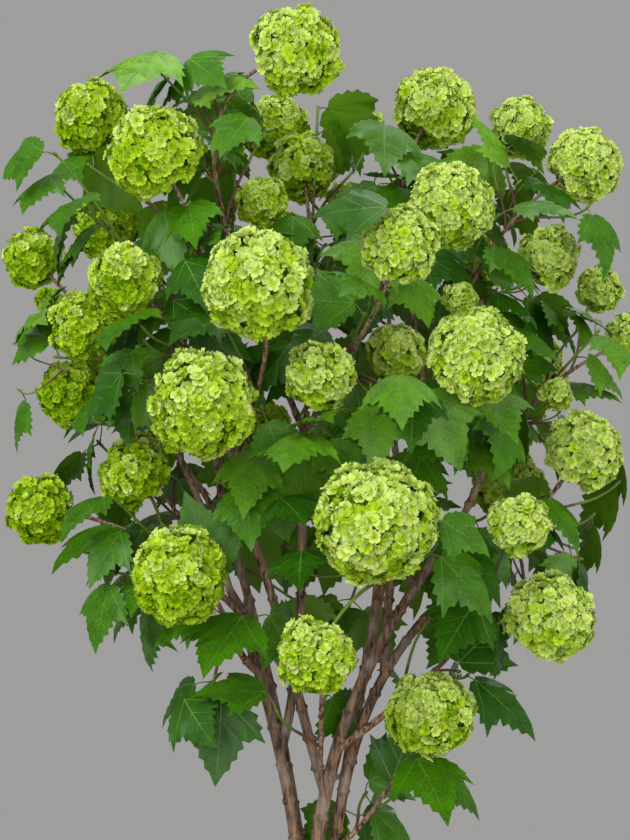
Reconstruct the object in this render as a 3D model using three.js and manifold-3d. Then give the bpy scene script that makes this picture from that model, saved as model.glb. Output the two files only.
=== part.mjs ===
// Snowball viburnum: a young many-stemmed shrub in flower, about 0.7 m high, rooted in level ground.
//
// A short root crown stands on the ground. Woody stems rise from it and fan out, boughs leave the stems,
// and each bough ends where it enters a mass of its own. A mass is one leader with twigs that curve up to
// round flower heads, leafy sprays between them, and opposite pairs of three-lobed leaves on all of them.
// Millimetres, +Z up, +Y away from the front. The origin is the middle of the root crown's flat cut at
// the ground.
import * as THREE from "three";
import { mergeVertices } from "three/addons/utils/BufferGeometryUtils.js";
import Module from "manifold-3d";

const wasm = await Module();
wasm.setup();

// ---------------------------------------------------------------- driving dimensions
const CLEARANCE = 0.3; // left between neighbouring pieces
const KEEP_OFF = 0.8; // between a leaf and anything of another mass
const ROOM = 4.1; // round the middle of a twig that the growth rule adds
const LOWEST_LEAF = 40; // above the ground

// The space that the whole leafy crown keeps to, widest at `middle` and closed above and below it.
const SPACE = {
  middle: [-2, 0, 430],
  width: 246,
  depth: 208,
  above: 285,
  below: 395,
  steepTop: 5, // the higher, the flatter the top
  steepFoot: 2.2, // the lower, the longer the taper to the foot
};

const ROOT_CROWN = {
  footRadius: 25,
  topRadius: 14,
  height: 42,
  sides: 12,
  flare: [[0.55, 0.18], [0.15, 0.5], [0, 0.86]], // how wide it still is, and how far up, in shares
};
const STEM_FOOT = 17; // where the stems start, inside the root crown

// How many straight steps each kind of limb is bent in, and how many sides it has.
const STEPS = { stem: 6, bough: 3, leader: 4, twig: 3, spray: 2 };
const SIDES = { stem: 7, bough: 5, leader: 4, twig: 3, spray: 3 };
const PULL = 0.36; // how far a limb keeps the way it starts and ends, as a share of its span

const BOUGH_RADIUS = 3; // at most, where it leaves its stem
const BOUGH_SHARE = 0.86; // of its stem's radius there
const STALK_RADIUS = 1.3; // the green stalk under a flower head
const TWIG_RADIUS = 1.6; // where a twig leaves its leader
const TWIG_SHARE = 0.62; // of its leader's radius there, at most
const SPRAY_RADII = [1.3, 1.0];
const STALK_SUNK = 0.55; // how deep a stalk goes into its head, as a share of the head's radius

const FORK_ANGLE = 42; // between a leader and its twigs, in degrees
const FORK_REACH = 0.12; // degrees that are given up to shorten a twig by a millimetre
const FIRST_FORK = 0.04; // past the bare part of a leader, as a share of it
const LAST_FORK = 0.8; // the share of a leader past which nothing leaves it
const FORK_STEP = 0.02;
const TWIG_FOLLOWS = 0.7; // how far a twig starts along its leader, to 1 of the way to where it ends
const BOUGH_FOLLOWS = 0.55; // how far a bough starts along its stem, as a share

const HEAD_LEANS = 0.75; // how far a head looks out, to 1 up
const SPRAY_LEANS = 1; // how far a leafy spray ends outwards, to 1 up
const HEAD_LUMP = 0.04; // how far a head's surface stands in and out, as a share of its radius
const SMALL_HEAD = 18; // the radius below which a head is a coarser ball

const SPRAYS_TRIED = 3; // by the growth rule, on each mass
const SPRAY_LENGTH = [42, 74];
const SPRAY_BEND = 0.5; // how far one the rule adds ends outwards, to 1 of the way it starts
const SPRAY_FORKS = { afterBare: 0.08, onTwig: 0.15, last: 0.7 }; // shares of the limb that carries it

const LEAF = {
  length: 59, // the blade of a middling leaf
  spread: 12, // how much longer or shorter others are
  thickness: 1.8, // in the middle of the blade, down to nothing at its rim
  petiole: 13,
  petioleSpread: 0.25, // as a share
  sunk: 0.4, // how far past the twig's middle its root lies, as a share of the twig's radius
  forward: 0.5, // how far the petiole goes along its twig, to 1 aside
  spreads: 0.4, // how far the blade goes away from the crown's axis, to 1 of its petiole's way
  droop: [0.4, 1.3], // and how far it hangs
  looksOut: 0.7, // how far its face turns away from the axis, to 1 up
  roll: 0.25, // radians each way
};
const PAIR_SPACING = 30; // between one pair of leaves and the next
const PAIR_SPREAD = 0.15; // as a share
const PAIR_BELOW_HEAD = 8; // the first pair's distance from the underside of the head
const PAIR_ABOVE_FORK = 11; // the last pair's distance from the foot of its twig

// Each stem: its foot on the root crown, or the stem and share where it forks off, where it ends, its
// radius at both, and the way it points at both.
const STEMS = [
  { name: "stem_left", foot: [-9, -3], tip: [-66, -12, 272], radii: [4.7, 3.2],
    ways: [[-0.1, 0, 1], [-0.36, 0, 0.93]] },
  { name: "stem_middle", foot: [-2, -9], tip: [104, -22, 318], radii: [6.0, 3.1],
    ways: [[-0.05, 0, 1], [0.62, 0, 0.78]] },
  { name: "stem_right", foot: [10, 1], tip: [116, -14, 282], radii: [4.8, 3.0],
    ways: [[0, 0, 1], [0.82, 0, 0.57]] },
  { name: "stem_back_left", foot: [-7, 9], tip: [-72, 74, 322], radii: [4.8, 3.1],
    ways: [[-0.1, 0.1, 1], [-0.3, 0.3, 1]] },
  { name: "stem_back_right", foot: [6, 10], tip: [64, 88, 338], radii: [4.8, 3.1],
    ways: [[0.1, 0.1, 1], [0.2, 0.3, 1]] },
  { name: "stem_centre", from: "stem_left", at: 0.5, tip: [-11, 12, 388], radii: [3.7, 3.0],
    ways: [[0.25, 0.05, 1], [0.03, 0.1, 1]] },
  { name: "stem_cross", from: "stem_middle", at: 0.31, tip: [-62, -44, 345], radii: [3.9, 2.9],
    ways: [[-0.3, -0.1, 1], [-0.4, -0.15, 0.9]] },
  { name: "stem_inner", from: "stem_right", at: 0.66, tip: [82, 8, 372], radii: [3.6, 2.9],
    ways: [[0.02, 0.05, 1], [0.4, 0.05, 0.9]] },
];

// Each bough: the stem it leaves and where, the share of its run that is bare, the way it starts, and
// what it carries. A head is [across, back, up, diameter], with the way it looks where that isn't up and
// out. The leader runs on to the first head, or to `tip` where it ends in leaves. A spray is the tip of
// a leafy twig.
const BOUGHS = [
  { name: "crest", from: "stem_centre", at: 1, bare: 0.4, lean: [-0.35, -0.1, 0.94],
    heads: [[-17, -40, 667, 72, [0.85, -0.15, 0.35]]],
    sprays: [[-106, -18, 655], [-62, 14, 646], [-100, 12, 604]] },
  { name: "upper_left", from: "stem_back_left", at: 1, bare: 0.45,
    heads: [[-119, -70, 590, 73], [-172, 20, 627, 62], [-111, 100, 523, 22]], sprays: [[-196, -30, 575]] },
  { name: "upper_middle", from: "stem_centre", at: 0.93, bare: 0.42, lean: [0.1, 0.35, 1],
    heads: [[-12, 50, 592, 57], [43, 140, 633, 29], [22, 112, 573, 32], [-42, 8, 562, 42]], sprays: [] },
  { name: "upper_right", from: "stem_inner", at: 0.9, bare: 0.4,
    heads: [[91, 70, 640, 70], [95, -60, 552, 68]], sprays: [[56, 20, 600]] },
  { name: "right_crest", from: "stem_inner", at: 1, bare: 0.42, lean: [0.15, 0.15, 1],
    heads: [[205, 50, 594, 62, [0.84, 0.1, 0.53]], [160, 90, 627, 52], [177, 40, 522, 52]],
    sprays: [[150, 30, 580]] },
  { name: "right_side", from: "stem_middle", at: 1, bare: 0.4, lean: [0.4, 0.15, 0.9],
    heads: [[242, 60, 460, 43, [0.9, 0, 0.42]], [226, 120, 502, 40], [178, -5, 416, 26]],
    sprays: [[214, 70, 440], [176, 60, 458], [205, 20, 405]] },
  { name: "right_middle", from: "stem_inner", at: 0.8, bare: 0.36, lean: [0.35, -0.6, 0.7],
    heads: [[110, -110, 442, 73], [58, -20, 446, 49], [105, -22, 486, 29]], sprays: [[150, -60, 430]] },
  { name: "right_low", from: "stem_right", at: 1, bare: 0.3,
    heads: [[196, -30, 374, 62], [142, -100, 323, 47], [166, -80, 257, 69]],
    sprays: [[205, -40, 315], [150, -40, 250], [212, 10, 332]] },
  { name: "right_foot", from: "stem_middle", at: 0.42, bare: 0.3, lean: [0.75, -0.35, 0.6],
    tip: [122, 4, 248],
    heads: [[82, -62, 185, 66, [0.2, -0.9, -0.2]]], sprays: [[92, -40, 246], [128, 40, 212]] },
  { name: "low_shoot", from: "stem_right", at: 0.2, bare: 0.2, lean: [0.7, -0.5, 0.6], tip: [62, -34, 142],
    heads: [], sprays: [[58, -6, 118], [36, -48, 122]] },
  { name: "inner_shoot", from: "stem_cross", at: 0.08, bare: 0.2, lean: [0.1, -0.7, 0.7], tip: [3, -52, 206],
    heads: [], sprays: [[-20, -62, 175]] },
  { name: "front_low", from: "stem_middle", at: 0.84, bare: 0.35, lean: [-0.3, -1, 0.2],
    heads: [[38, -170, 328, 88, [-0.2, -0.9, 0.35]], [-2, -150, 237, 59, [-0.5, -0.15, -0.85]]],
    sprays: [[78, -120, 275], [-12, -108, 296]] },
  { name: "front_middle", from: "stem_centre", at: 0.95, bare: 0.35, lean: [0.2, -0.8, 0.8],
    heads: [[56, -132, 518, 58], [2, -120, 429, 53]], sprays: [[72, -120, 425]] },
  { name: "front_left", from: "stem_cross", at: 1, bare: 0.28, lean: [0, -0.7, 0.8],
    heads: [[-41, -150, 490, 82], [-80, -140, 408, 78]], sprays: [[-34, -110, 362], [-104, -90, 356]] },
  { name: "left_middle", from: "stem_cross", at: 0.9, bare: 0.42, lean: [-0.2, -0.1, 1],
    heads: [[-138, -80, 497, 57, [-0.7, -0.3, 0.6]]], sprays: [[-118, -40, 545]] },
  { name: "left_side", from: "stem_left", at: 1, bare: 0.4, lean: [-0.3, 0.1, 1],
    heads: [[-217, 30, 520, 49, [-0.7, 0.1, 0.7]], [-171, -40, 467, 56], [-213, 90, 492, 22],
      [-191, 50, 418, 54]],
    sprays: [[-228, 10, 446]] },
  { name: "left_low", from: "stem_cross", at: 0.36, bare: 0.38, lean: [-0.5, -0.35, 0.8],
    heads: [[-208, 10, 330, 57, [-1, 0, 0.15]], [-136, -20, 357, 55]],
    sprays: [[-176, -50, 300], [-150, 30, 275]] },
  { name: "left_foot", from: "stem_left", at: 0.75, bare: 0.36, lean: [-0.5, -0.8, 0.4],
    heads: [[-98, -110, 289, 73, [-0.5, -0.8, 0.25]]], sprays: [[-70, -60, 216], [-40, -100, 270]] },
];

// The far side is filled by a rule: heads spread by the golden angle over the back of an ellipsoid, and
// each goes to the nearest of these boughs, which aim at the middles given here.
const BACK_BOUGHS = [
  { name: "back_high", from: "stem_back_right", at: 0.92, aim: [10, 150, 590] },
  { name: "back_left", from: "stem_back_left", at: 0.9, aim: [-130, 130, 500] },
  { name: "back_right", from: "stem_back_right", at: 1, aim: [130, 150, 490] },
  { name: "back_low_left", from: "stem_back_left", at: 0.66, aim: [-90, 150, 350] },
  { name: "back_low_right", from: "stem_back_right", at: 0.62, aim: [90, 160, 350] },
];
const BACK_SHELL = { middle: [-2, 10, 455], radii: [205, 185, 205] };
const BACK_HEADS = 27; // tried, and left out where there is no room
const BACK_HEIGHTS = [0.93, -0.57]; // of the highest and the lowest, as shares of the shell's
const BACK_BEARINGS = [18, 162]; // degrees round from +X
const BACK_DIAMETERS = [74, 58, 68, 50, 78, 62, 44];
const BACK_GAP = 9; // between heads, at least
const BACK_BARE = 0.42;
const GOLDEN = 0.618034;

// ---------------------------------------------------------------- small helpers
const UP = new THREE.Vector3(0, 0, 1);
const SPACE_MIDDLE = new THREE.Vector3(...SPACE.middle);
const vector = (numbers) => new THREE.Vector3(...numbers);
const direction = (numbers) => vector(numbers).normalize();

// The same draws for the same seed, each from 0 to 1.
function dice(seed) {
  let state = seed * 7919 + 17;
  return () => {
    state = (state * 16807) % 2147483647;
    return state / 2147483647;
  };
}

// The level direction from the crown's axis out through a point.
function outward(point) {
  const away = new THREE.Vector3(point.x - SPACE_MIDDLE.x, point.y - SPACE_MIDDLE.y, 0);
  return away.length() > 1 ? away.normalize() : direction([0, -1, 0]);
}

// Whether a point is within the crown's space: an egg shape, steep at the top and long at the foot.
function inSpace(point) {
  const { above, below, width, depth, steepTop, steepFoot } = SPACE;
  const { x, y, z } = point.clone().sub(SPACE_MIDDLE);
  const closing = z > 0 ? (z / above) ** steepTop : (-z / below) ** steepFoot;
  return Math.hypot(x / width, y / depth) < 1 - closing;
}

// The shares of a limb's length at which it bends.
const evenly = (from, to, steps) => [...Array(steps + 1).keys()].map((i) => from + ((to - from) * i) / steps);

// A tapering limb along a smooth curve between two points, with its direction given at both. It is made
// in straight steps between its bends.
class Limb {
  constructor(start, startWay, end, endWay, radii, bends) {
    const pull = start.distanceTo(end) * PULL;
    this.curve = new THREE.CubicBezierCurve3(
      start,
      start.clone().addScaledVector(startWay, pull),
      end.clone().addScaledVector(endWay, -pull),
      end,
    );
    this.radii = radii;
    this.bends = bends;
    this.length = this.curve.getLength();
  }
  point(share) {
    return this.curve.getPointAt(share);
  }
  way(share) {
    return this.curve.getTangentAt(share);
  }
  // The point of the straight step at a share of the length, where what grows on the limb is rooted.
  axis(share) {
    const next = Math.max(1, this.bends.findIndex((bend) => bend >= share));
    const [from, to] = [this.bends[next - 1], this.bends[next]];
    return this.point(from).lerp(this.point(to), (share - from) / (to - from));
  }
  radius(share) {
    return THREE.MathUtils.lerp(this.radii[0], this.radii[1], share);
  }
  // Short straight lengths that stand for the limb when clearances are measured.
  lengths(from, to, count) {
    const cuts = evenly(from, to, count);
    return cuts.slice(1).map((share, i) => ({
      a: this.point(cuts[i]),
      b: this.point(share),
      radius: this.radius(cuts[i]),
    }));
  }
}

// How far a point is from a straight length or from a flower head, which is a length of no length.
const segment = new THREE.Line3();
const nearest = new THREE.Vector3();
function gapTo(point, piece) {
  segment.set(piece.a, piece.b);
  segment.closestPointToPoint(point, true, nearest);
  return nearest.distanceTo(point) - piece.radius;
}
const leastGap = (point, pieces) => Math.min(...pieces.map((piece) => gapTo(point, piece)));

// ---------------------------------------------------------------- solids
function solidOf(geometry) {
  const bare = geometry.clone();
  for (const name of ["normal", "uv"]) bare.deleteAttribute(name);
  const merged = mergeVertices(bare, 1e-3);
  const mesh = new wasm.Mesh({
    numProp: 3,
    vertProperties: merged.attributes.position.array,
    triVerts: new Uint32Array(merged.index.array),
  });
  return new wasm.Manifold(mesh);
}

function geometryOf(solid) {
  const { vertProperties, triVerts } = solid.getMesh();
  return new THREE.BufferGeometry()
    .setAttribute("position", new THREE.BufferAttribute(vertProperties, 3))
    .setIndex(new THREE.BufferAttribute(triVerts, 1))
    .toNonIndexed();
}

// Joins in pairs, so that no solid is joined over and over.
function joined(solids) {
  if (solids.length === 1) return solids[0];
  const half = Math.ceil(solids.length / 2);
  return joined(solids.slice(0, half)).add(joined(solids.slice(half)));
}

const largest = (solid) => solid.decompose().reduce((a, b) => (a.volume() >= b.volume() ? a : b));

// A stretch of a limb: a closed cylinder bent along the limb's curve, and `extra` larger all round.
function limbSolid(limb, { from = 0, to = 1, sides, steps, extra = 0 }) {
  const geometry = new THREE.CylinderGeometry(1, 1, 1, sides, steps);
  const position = geometry.attributes.position;
  const middleWay = limb.way((from + to) / 2);
  const level = Math.abs(middleWay.z) > 0.8 ? new THREE.Vector3(0, 1, 0) : UP;
  const aside = new THREE.Vector3().crossVectors(middleWay, level).normalize();
  const corner = new THREE.Vector3();
  for (let i = 0; i < position.count; i++) {
    corner.fromBufferAttribute(position, i);
    const share = THREE.MathUtils.lerp(from, to, corner.y + 0.5);
    const along = limb.way(share);
    const right = aside.clone().addScaledVector(along, -aside.dot(along)).normalize();
    const ahead = new THREE.Vector3().crossVectors(right, along);
    const radius = limb.radius(share) + extra;
    const placed = limb
      .point(share)
      .addScaledVector(right, corner.x * radius)
      .addScaledVector(ahead, corner.z * radius)
      .addScaledVector(along, Math.abs(corner.y) > 0.499 ? Math.sign(corner.y) * extra : 0);
    position.setXYZ(i, placed.x, placed.y, placed.z);
  }
  return solidOf(geometry);
}

// The root crown: turned round the upright axis, with its flare at the flat cut on the ground.
function rootCrownSolid(extra = 0) {
  const { footRadius, topRadius, height, flare, sides } = ROOT_CROWN;
  const profile = [
    [0, -extra],
    [footRadius + extra, -extra],
    ...flare.map(([width, up]) => [THREE.MathUtils.lerp(topRadius, footRadius, width) + extra, height * up]),
    [topRadius * 0.7 + extra, height + extra],
    [0, height + extra],
  ];
  const points = profile.map(([x, y]) => new THREE.Vector2(x, y));
  const geometry = new THREE.LatheGeometry(points, sides);
  return solidOf(geometry.rotateX(Math.PI / 2));
}

// A flower head: a ball with a lumpy surface, coarser on a small one.
function headSolid(ball, random) {
  const geometry = new THREE.IcosahedronGeometry(1, ball.radius < SMALL_HEAD ? 0 : 1);
  for (const name of ["normal", "uv"]) geometry.deleteAttribute(name);
  const merged = mergeVertices(geometry, 1e-3);
  const position = merged.attributes.position;
  for (let i = 0; i < position.count; i++) {
    const size = ball.radius * (1 + HEAD_LUMP * (2 * random() - 1));
    const corner = new THREE.Vector3().fromBufferAttribute(position, i).setLength(size).add(ball.middle);
    position.setXYZ(i, corner.x, corner.y, corner.z);
  }
  return solidOf(merged);
}

// The blade's outline in shares of its length, from the petiole round: along the leaf, across it, and how
// far that point hangs below the middle of the blade.
const LEAF_OUTLINE = [
  [0.0, 0.06, 0.02],
  [0.4, 0.48, 0.12],
  [0.55, 0.26, 0.03],
  [1.0, 0.0, 0.18],
];
const BLADE_MIDDLE = 0.32;

// Where a leaf's outline lies: its root in the twig, then round one side to the tip and back.
function leafPoints({ root, petioleEnd, along, across, face, length }, extra = 0) {
  const at = ([x, y, drop], side) =>
    petioleEnd
      .clone()
      .addScaledVector(along, x * length)
      .addScaledVector(across, side * y * length)
      .addScaledVector(face, -drop * length);
  const right = LEAF_OUTLINE.map((point) => at(point, 1));
  const left = LEAF_OUTLINE.slice(0, -1).map((point) => at(point, -1)).reverse();
  const middle = at([BLADE_MIDDLE, 0, 0], 1);
  const rim = [root.clone(), ...right, ...left];
  for (const point of rim) point.addScaledVector(point.clone().sub(middle).normalize(), extra);
  return { rim, middle };
}

// A leaf: a sphere of two rings, whose rim takes the leaf's outline and whose poles make its two faces.
function leafSolid(leaf, extra = 0) {
  const { rim, middle } = leafPoints(leaf, extra);
  const geometry = new THREE.SphereGeometry(1, rim.length, 2);
  const position = geometry.attributes.position;
  for (let i = 0; i < position.count; i++) {
    const [x, y, z] = [position.getX(i), position.getY(i), position.getZ(i)];
    const turn = Math.atan2(z, x) / (2 * Math.PI);
    const corner = Math.round((turn + 1) * rim.length) % rim.length;
    const lift = Math.sign(y) * (LEAF.thickness / 2 + extra);
    const placed = Math.abs(y) > 0.5 ? middle.clone().addScaledVector(leaf.face, lift) : rim[corner];
    position.setXYZ(i, placed.x, placed.y, placed.z);
  }
  return solidOf(geometry);
}

// ---------------------------------------------------------------- stems and boughs
const stems = new Map();

function growStem({ name, from, at, foot, tip, radii, ways }) {
  const start = from ? stems.get(from).axis(at) : vector([...foot, STEM_FOOT]);
  const bends = evenly(0, 1, STEPS.stem);
  stems.set(name, new Limb(start, direction(ways[0]), vector(tip), direction(ways[1]), radii, bends));
}

// Up, and by `spread` away from the crown's axis: the way of what grows at a point, unless it is given.
const upAndOut = (point, spread) => outward(point).multiplyScalar(spread).add(UP).normalize();

// Where a twig to this point leaves the leader, so that it makes the angle of a natural fork.
function forkShare(leader, bare, target) {
  let best = { share: bare, cost: Infinity };
  for (let share = bare + FIRST_FORK; share <= LAST_FORK; share += FORK_STEP) {
    const toTarget = target.clone().sub(leader.point(share));
    const angle = THREE.MathUtils.radToDeg(leader.way(share).angleTo(toTarget));
    const cost = Math.abs(angle - FORK_ANGLE) + toTarget.length() * FORK_REACH;
    if (cost < best.cost) best = { share, cost };
  }
  return best.share;
}

// A twig starts between the leader's way and the straight way to its target, and ends the given way.
function growTwig(leader, bare, target, endWay, [thick, thin], steps) {
  const share = forkShare(leader, bare, target);
  const root = leader.axis(share);
  const straight = target.clone().sub(root).normalize();
  const way = straight.addScaledVector(leader.way(share), TWIG_FOLLOWS).normalize();
  const radii = [Math.min(thick, TWIG_SHARE * leader.radius(share)), thin];
  return new Limb(root, way, target, endWay, radii, evenly(0, 1, steps));
}

function growBough({ name, from, at, bare, lean, tip, heads, sprays }, index) {
  const stem = stems.get(from);
  const start = stem.axis(at);
  const balls = heads.map(([x, y, z, diameter, way]) => {
    const middle = new THREE.Vector3(x, y, z);
    return { middle, radius: diameter / 2, way: way ? direction(way) : upAndOut(middle, HEAD_LEANS) };
  });
  const sunk = (ball) => ball.middle.clone().addScaledVector(ball.way, -ball.radius * STALK_SUNK);
  const end = tip ? vector(tip) : sunk(balls[0]);
  const straight = end.clone().sub(start).normalize();
  const startWay = lean ? direction(lean) : straight.lerp(stem.way(at), BOUGH_FOLLOWS).normalize();
  const endWay = tip ? upAndOut(end, HEAD_LEANS) : balls[0].way;
  const radii = [Math.min(stem.radius(at) * BOUGH_SHARE, BOUGH_RADIUS), STALK_RADIUS];
  const bends = [...evenly(0, bare, STEPS.bough), ...evenly(bare, 1, STEPS.leader).slice(1)];
  const leader = new Limb(start, startWay, end, endWay, radii, bends);
  const carried = tip ? balls : balls.slice(1);
  const twigRadii = [TWIG_RADIUS, STALK_RADIUS];
  const twigs = carried.map((ball) => growTwig(leader, bare, sunk(ball), ball.way, twigRadii, STEPS.twig));
  const leafy = sprays.map((numbers) => {
    const target = vector(numbers);
    return growTwig(leader, bare, target, upAndOut(target, SPRAY_LEANS), SPRAY_RADII, STEPS.spray);
  });
  const headed = twigs.map((limb, i) => ({ limb, ball: carried[i] }));
  if (!tip) headed.unshift({ limb: leader, ball: balls[0] });
  const random = dice(index + 1);
  return { name, bare, leader, balls, twigs, leafy, headed, random, leaves: [], inLeaf: new Set() };
}

// The heads of the far side, each on the bough whose aim is nearest, clear of those already there.
function backRecords(taken) {
  const records = BACK_BOUGHS.map((bough) => ({ ...bough, bare: BACK_BARE, heads: [], sprays: [] }));
  for (let i = 0; i < BACK_HEADS; i++) {
    const height = THREE.MathUtils.lerp(...BACK_HEIGHTS, (i + 0.5) / BACK_HEADS);
    const bearing = THREE.MathUtils.degToRad(THREE.MathUtils.lerp(...BACK_BEARINGS, (i * GOLDEN) % 1));
    const waist = Math.sqrt(1 - height * height);
    const [across, back, up] = BACK_SHELL.radii;
    const middle = new THREE.Vector3(
      Math.round(Math.cos(bearing) * across * waist),
      Math.round(Math.sin(bearing) * back * waist),
      Math.round(height * up),
    ).add(vector(BACK_SHELL.middle));
    const diameter = BACK_DIAMETERS[i % BACK_DIAMETERS.length];
    const near = (head) => head.middle.distanceTo(middle) < head.radius + diameter / 2 + BACK_GAP;
    if (taken.some(near)) continue;
    taken.push({ middle, radius: diameter / 2 });
    const nearestBough = records.reduce((a, b) =>
      vector(a.aim).distanceTo(middle) <= vector(b.aim).distanceTo(middle) ? a : b,
    );
    nearestBough.heads.push([middle.x, middle.y, middle.z, diameter]);
  }
  // The leader runs to the head nearest the aim.
  for (const record of records) {
    const distance = ([x, y, z]) => new THREE.Vector3(x, y, z).distanceTo(vector(record.aim));
    record.heads.sort((a, b) => distance(a) - distance(b));
  }
  return records;
}

STEMS.forEach(growStem);
const front = BOUGHS.map(growBough);
const backs = backRecords(front.flatMap((mass) => mass.balls));
const back = backs.map((record, i) => growBough(record, BOUGHS.length + i));
const masses = [...front, ...back];

// What each mass and all the bare wood take up, for the clearances.
for (const mass of masses) {
  mass.wood = mass.leader.lengths(mass.bare, 1, 8);
  for (const twig of [...mass.twigs, ...mass.leafy]) mass.wood.push(...twig.lengths(0, 1, 6));
  mass.heads = mass.balls.map(({ middle, radius }) => {
    return { a: middle, b: middle, radius: radius * (1 + HEAD_LUMP) };
  });
}
const bareWood = [
  ...[...stems.values()].flatMap((stem) => stem.lengths(0, 1, 8)),
  ...masses.flatMap((mass) => mass.leader.lengths(0, mass.bare, 5)),
];
function woodOfOthers(mass) {
  const others = masses.filter((other) => other !== mass);
  return [...bareWood, ...others.flatMap((other) => other.wood)];
}
const allHeads = masses.flatMap((mass) => mass.heads);

// ---------------------------------------------------------------- leafy sprays and leaves
// A flowerless spray leaves the leader or a twig wherever the draw puts it, if there is room for it.
function growSpray(mass) {
  const { random } = mass;
  const carriers = [mass.leader, ...mass.twigs];
  const carrier = carriers[Math.floor(random() * carriers.length)];
  const lowest = carrier === mass.leader ? mass.bare + SPRAY_FORKS.afterBare : SPRAY_FORKS.onTwig;
  const share = THREE.MathUtils.lerp(lowest, SPRAY_FORKS.last, random());
  const along = carrier.way(share);
  const turn = random() * 2 * Math.PI;
  const length = THREE.MathUtils.lerp(...SPRAY_LENGTH, random());
  const root = carrier.axis(share);
  const side = new THREE.Vector3().crossVectors(along, UP).normalize().applyAxisAngle(along, turn);
  const way = along.clone().add(side).normalize();
  const bent = way.clone().addScaledVector(outward(root), SPRAY_BEND).normalize();
  const tip = root.clone().addScaledVector(bent, length);
  const radii = [Math.min(SPRAY_RADII[0], TWIG_SHARE * carrier.radius(share)), SPRAY_RADII[1]];
  const spray = new Limb(root, way, tip, upAndOut(tip, SPRAY_LEANS), radii, evenly(0, 1, STEPS.spray));
  const taken = [...woodOfOthers(mass), ...allHeads];
  const points = evenly(0.2, 1, 5).map((at) => spray.point(at));
  if (!points.every((point) => inSpace(point) && leastGap(point, taken) > ROOM)) return;
  mass.leafy.push(spray);
  mass.wood.push(...spray.lengths(0, 1, 6));
}

// Leaves stand out in opposite pairs, each pair turned a quarter from the last, and hang from their
// petioles. The pairs go from `tip` down to `from`, both as lengths along the limb.
function pairsOf(mass, limb, from, tip) {
  const { random } = mass;
  const startWay = limb.way(0.5);
  const sideways = new THREE.Vector3().crossVectors(startWay, UP).normalize();
  const twist = random() * Math.PI;
  const leaves = [];
  let pair = 0;
  const spread = (share) => 1 + share * (2 * random() - 1);
  for (let reach = tip; reach > from; reach -= PAIR_SPACING * spread(PAIR_SPREAD)) {
    const share = reach / limb.length;
    const twigPoint = limb.axis(share);
    const way = limb.way(share);
    const turned = sideways.clone().applyAxisAngle(startWay, twist + (pair * Math.PI) / 2);
    pair += 1;
    for (const side of [1, -1]) {
      const out = turned.clone().multiplyScalar(side).addScaledVector(way, LEAF.forward).normalize();
      const length = LEAF.length + LEAF.spread * (2 * random() - 1);
      const droop = THREE.MathUtils.lerp(...LEAF.droop, random());
      const petiole = LEAF.petiole * spread(LEAF.petioleSpread);
      const roll = LEAF.roll * (2 * random() - 1);
      const root = twigPoint.clone().addScaledVector(out, -LEAF.sunk * limb.radius(share));
      const petioleEnd = twigPoint.clone().addScaledVector(out, limb.radius(share) + petiole);
      const away = outward(petioleEnd);
      const along = out.clone().addScaledVector(away, LEAF.spreads).addScaledVector(UP, -droop).normalize();
      const lifted = UP.clone().addScaledVector(away, LEAF.looksOut);
      const across = new THREE.Vector3().crossVectors(lifted, along).normalize().applyAxisAngle(along, roll);
      const face = new THREE.Vector3().crossVectors(along, across);
      leaves.push({ mass, limb, root, petioleEnd, along, across, face, length });
    }
  }
  return leaves;
}

function candidatesOf(mass) {
  const from = (limb) => PAIR_ABOVE_FORK + (limb === mass.leader ? mass.bare * limb.length : 0);
  const underHead = ({ limb, ball }) => limb.length - ball.radius * (1 - STALK_SUNK) - PAIR_BELOW_HEAD;
  const flowering = mass.headed.map((twig) => [twig.limb, underHead(twig)]);
  const ledByHead = mass.headed.some(({ limb }) => limb === mass.leader);
  const flowerless = ledByHead ? mass.leafy : [mass.leader, ...mass.leafy];
  const leafy = flowerless.map((limb) => [limb, limb.length - 1]);
  return [...flowering, ...leafy].flatMap(([limb, tip]) => pairsOf(mass, limb, from(limb), tip));
}

// A leaf is kept if it stays in the crown's space and clear of every flower head, limb and leaf that is
// already there. Within its own mass only the blade has to be clear, because the petiole starts in a twig.
const beyond = (a, b) => a.min.some((low, axis) => low > b.max[axis]);
const apart = (a, b) => beyond(a, b) || beyond(b, a);
const crossing = (solid, box, other) => !apart(box, other.box) && !solid.intersect(other.solid).isEmpty();

function keepIfClear(leaf, placed, limbs) {
  const { rim, middle } = leafPoints(leaf);
  const probes = rim.slice(1).flatMap((point) => [point, point.clone().lerp(middle, 0.5)]);
  probes.push(middle);
  const clear = (point) => inSpace(point) && point.z > LOWEST_LEAF && leastGap(point, allHeads) > KEEP_OFF;
  if (!probes.every(clear)) return;
  const { mass } = leaf;
  const fat = leafSolid(leaf, KEEP_OFF);
  const blade = leafSolid({ ...leaf, root: leaf.petioleEnd }, KEEP_OFF);
  const fatBox = fat.boundingBox();
  const meets = (other) => crossing(other.mass === mass ? blade : fat, fatBox, other);
  if (limbs.some(meets) || placed.some(meets)) return;
  const solid = leafSolid(leaf);
  placed.push({ mass, solid, box: solid.boundingBox() });
  mass.leaves.push(solid);
  mass.inLeaf.add(leaf.limb);
}

for (const mass of masses) for (let i = 0; i < SPRAYS_TRIED; i++) growSpray(mass);

// ---------------------------------------------------------------- assembly
const material = (color, roughness) => new THREE.MeshStandardMaterial({ color, roughness, metalness: 0 });
const oldBark = material(0x6b5546, 0.9);
const stemBark = material(0x5f4536, 0.85);
const boughBark = material(0x4a2c22, 0.8);
const foliage = material(0x4f8a2b, 0.6);

const group = new THREE.Group();
function place(name, solid, look) {
  const mesh = new THREE.Mesh(geometryOf(solid), look);
  mesh.name = name;
  group.add(mesh);
}

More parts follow.
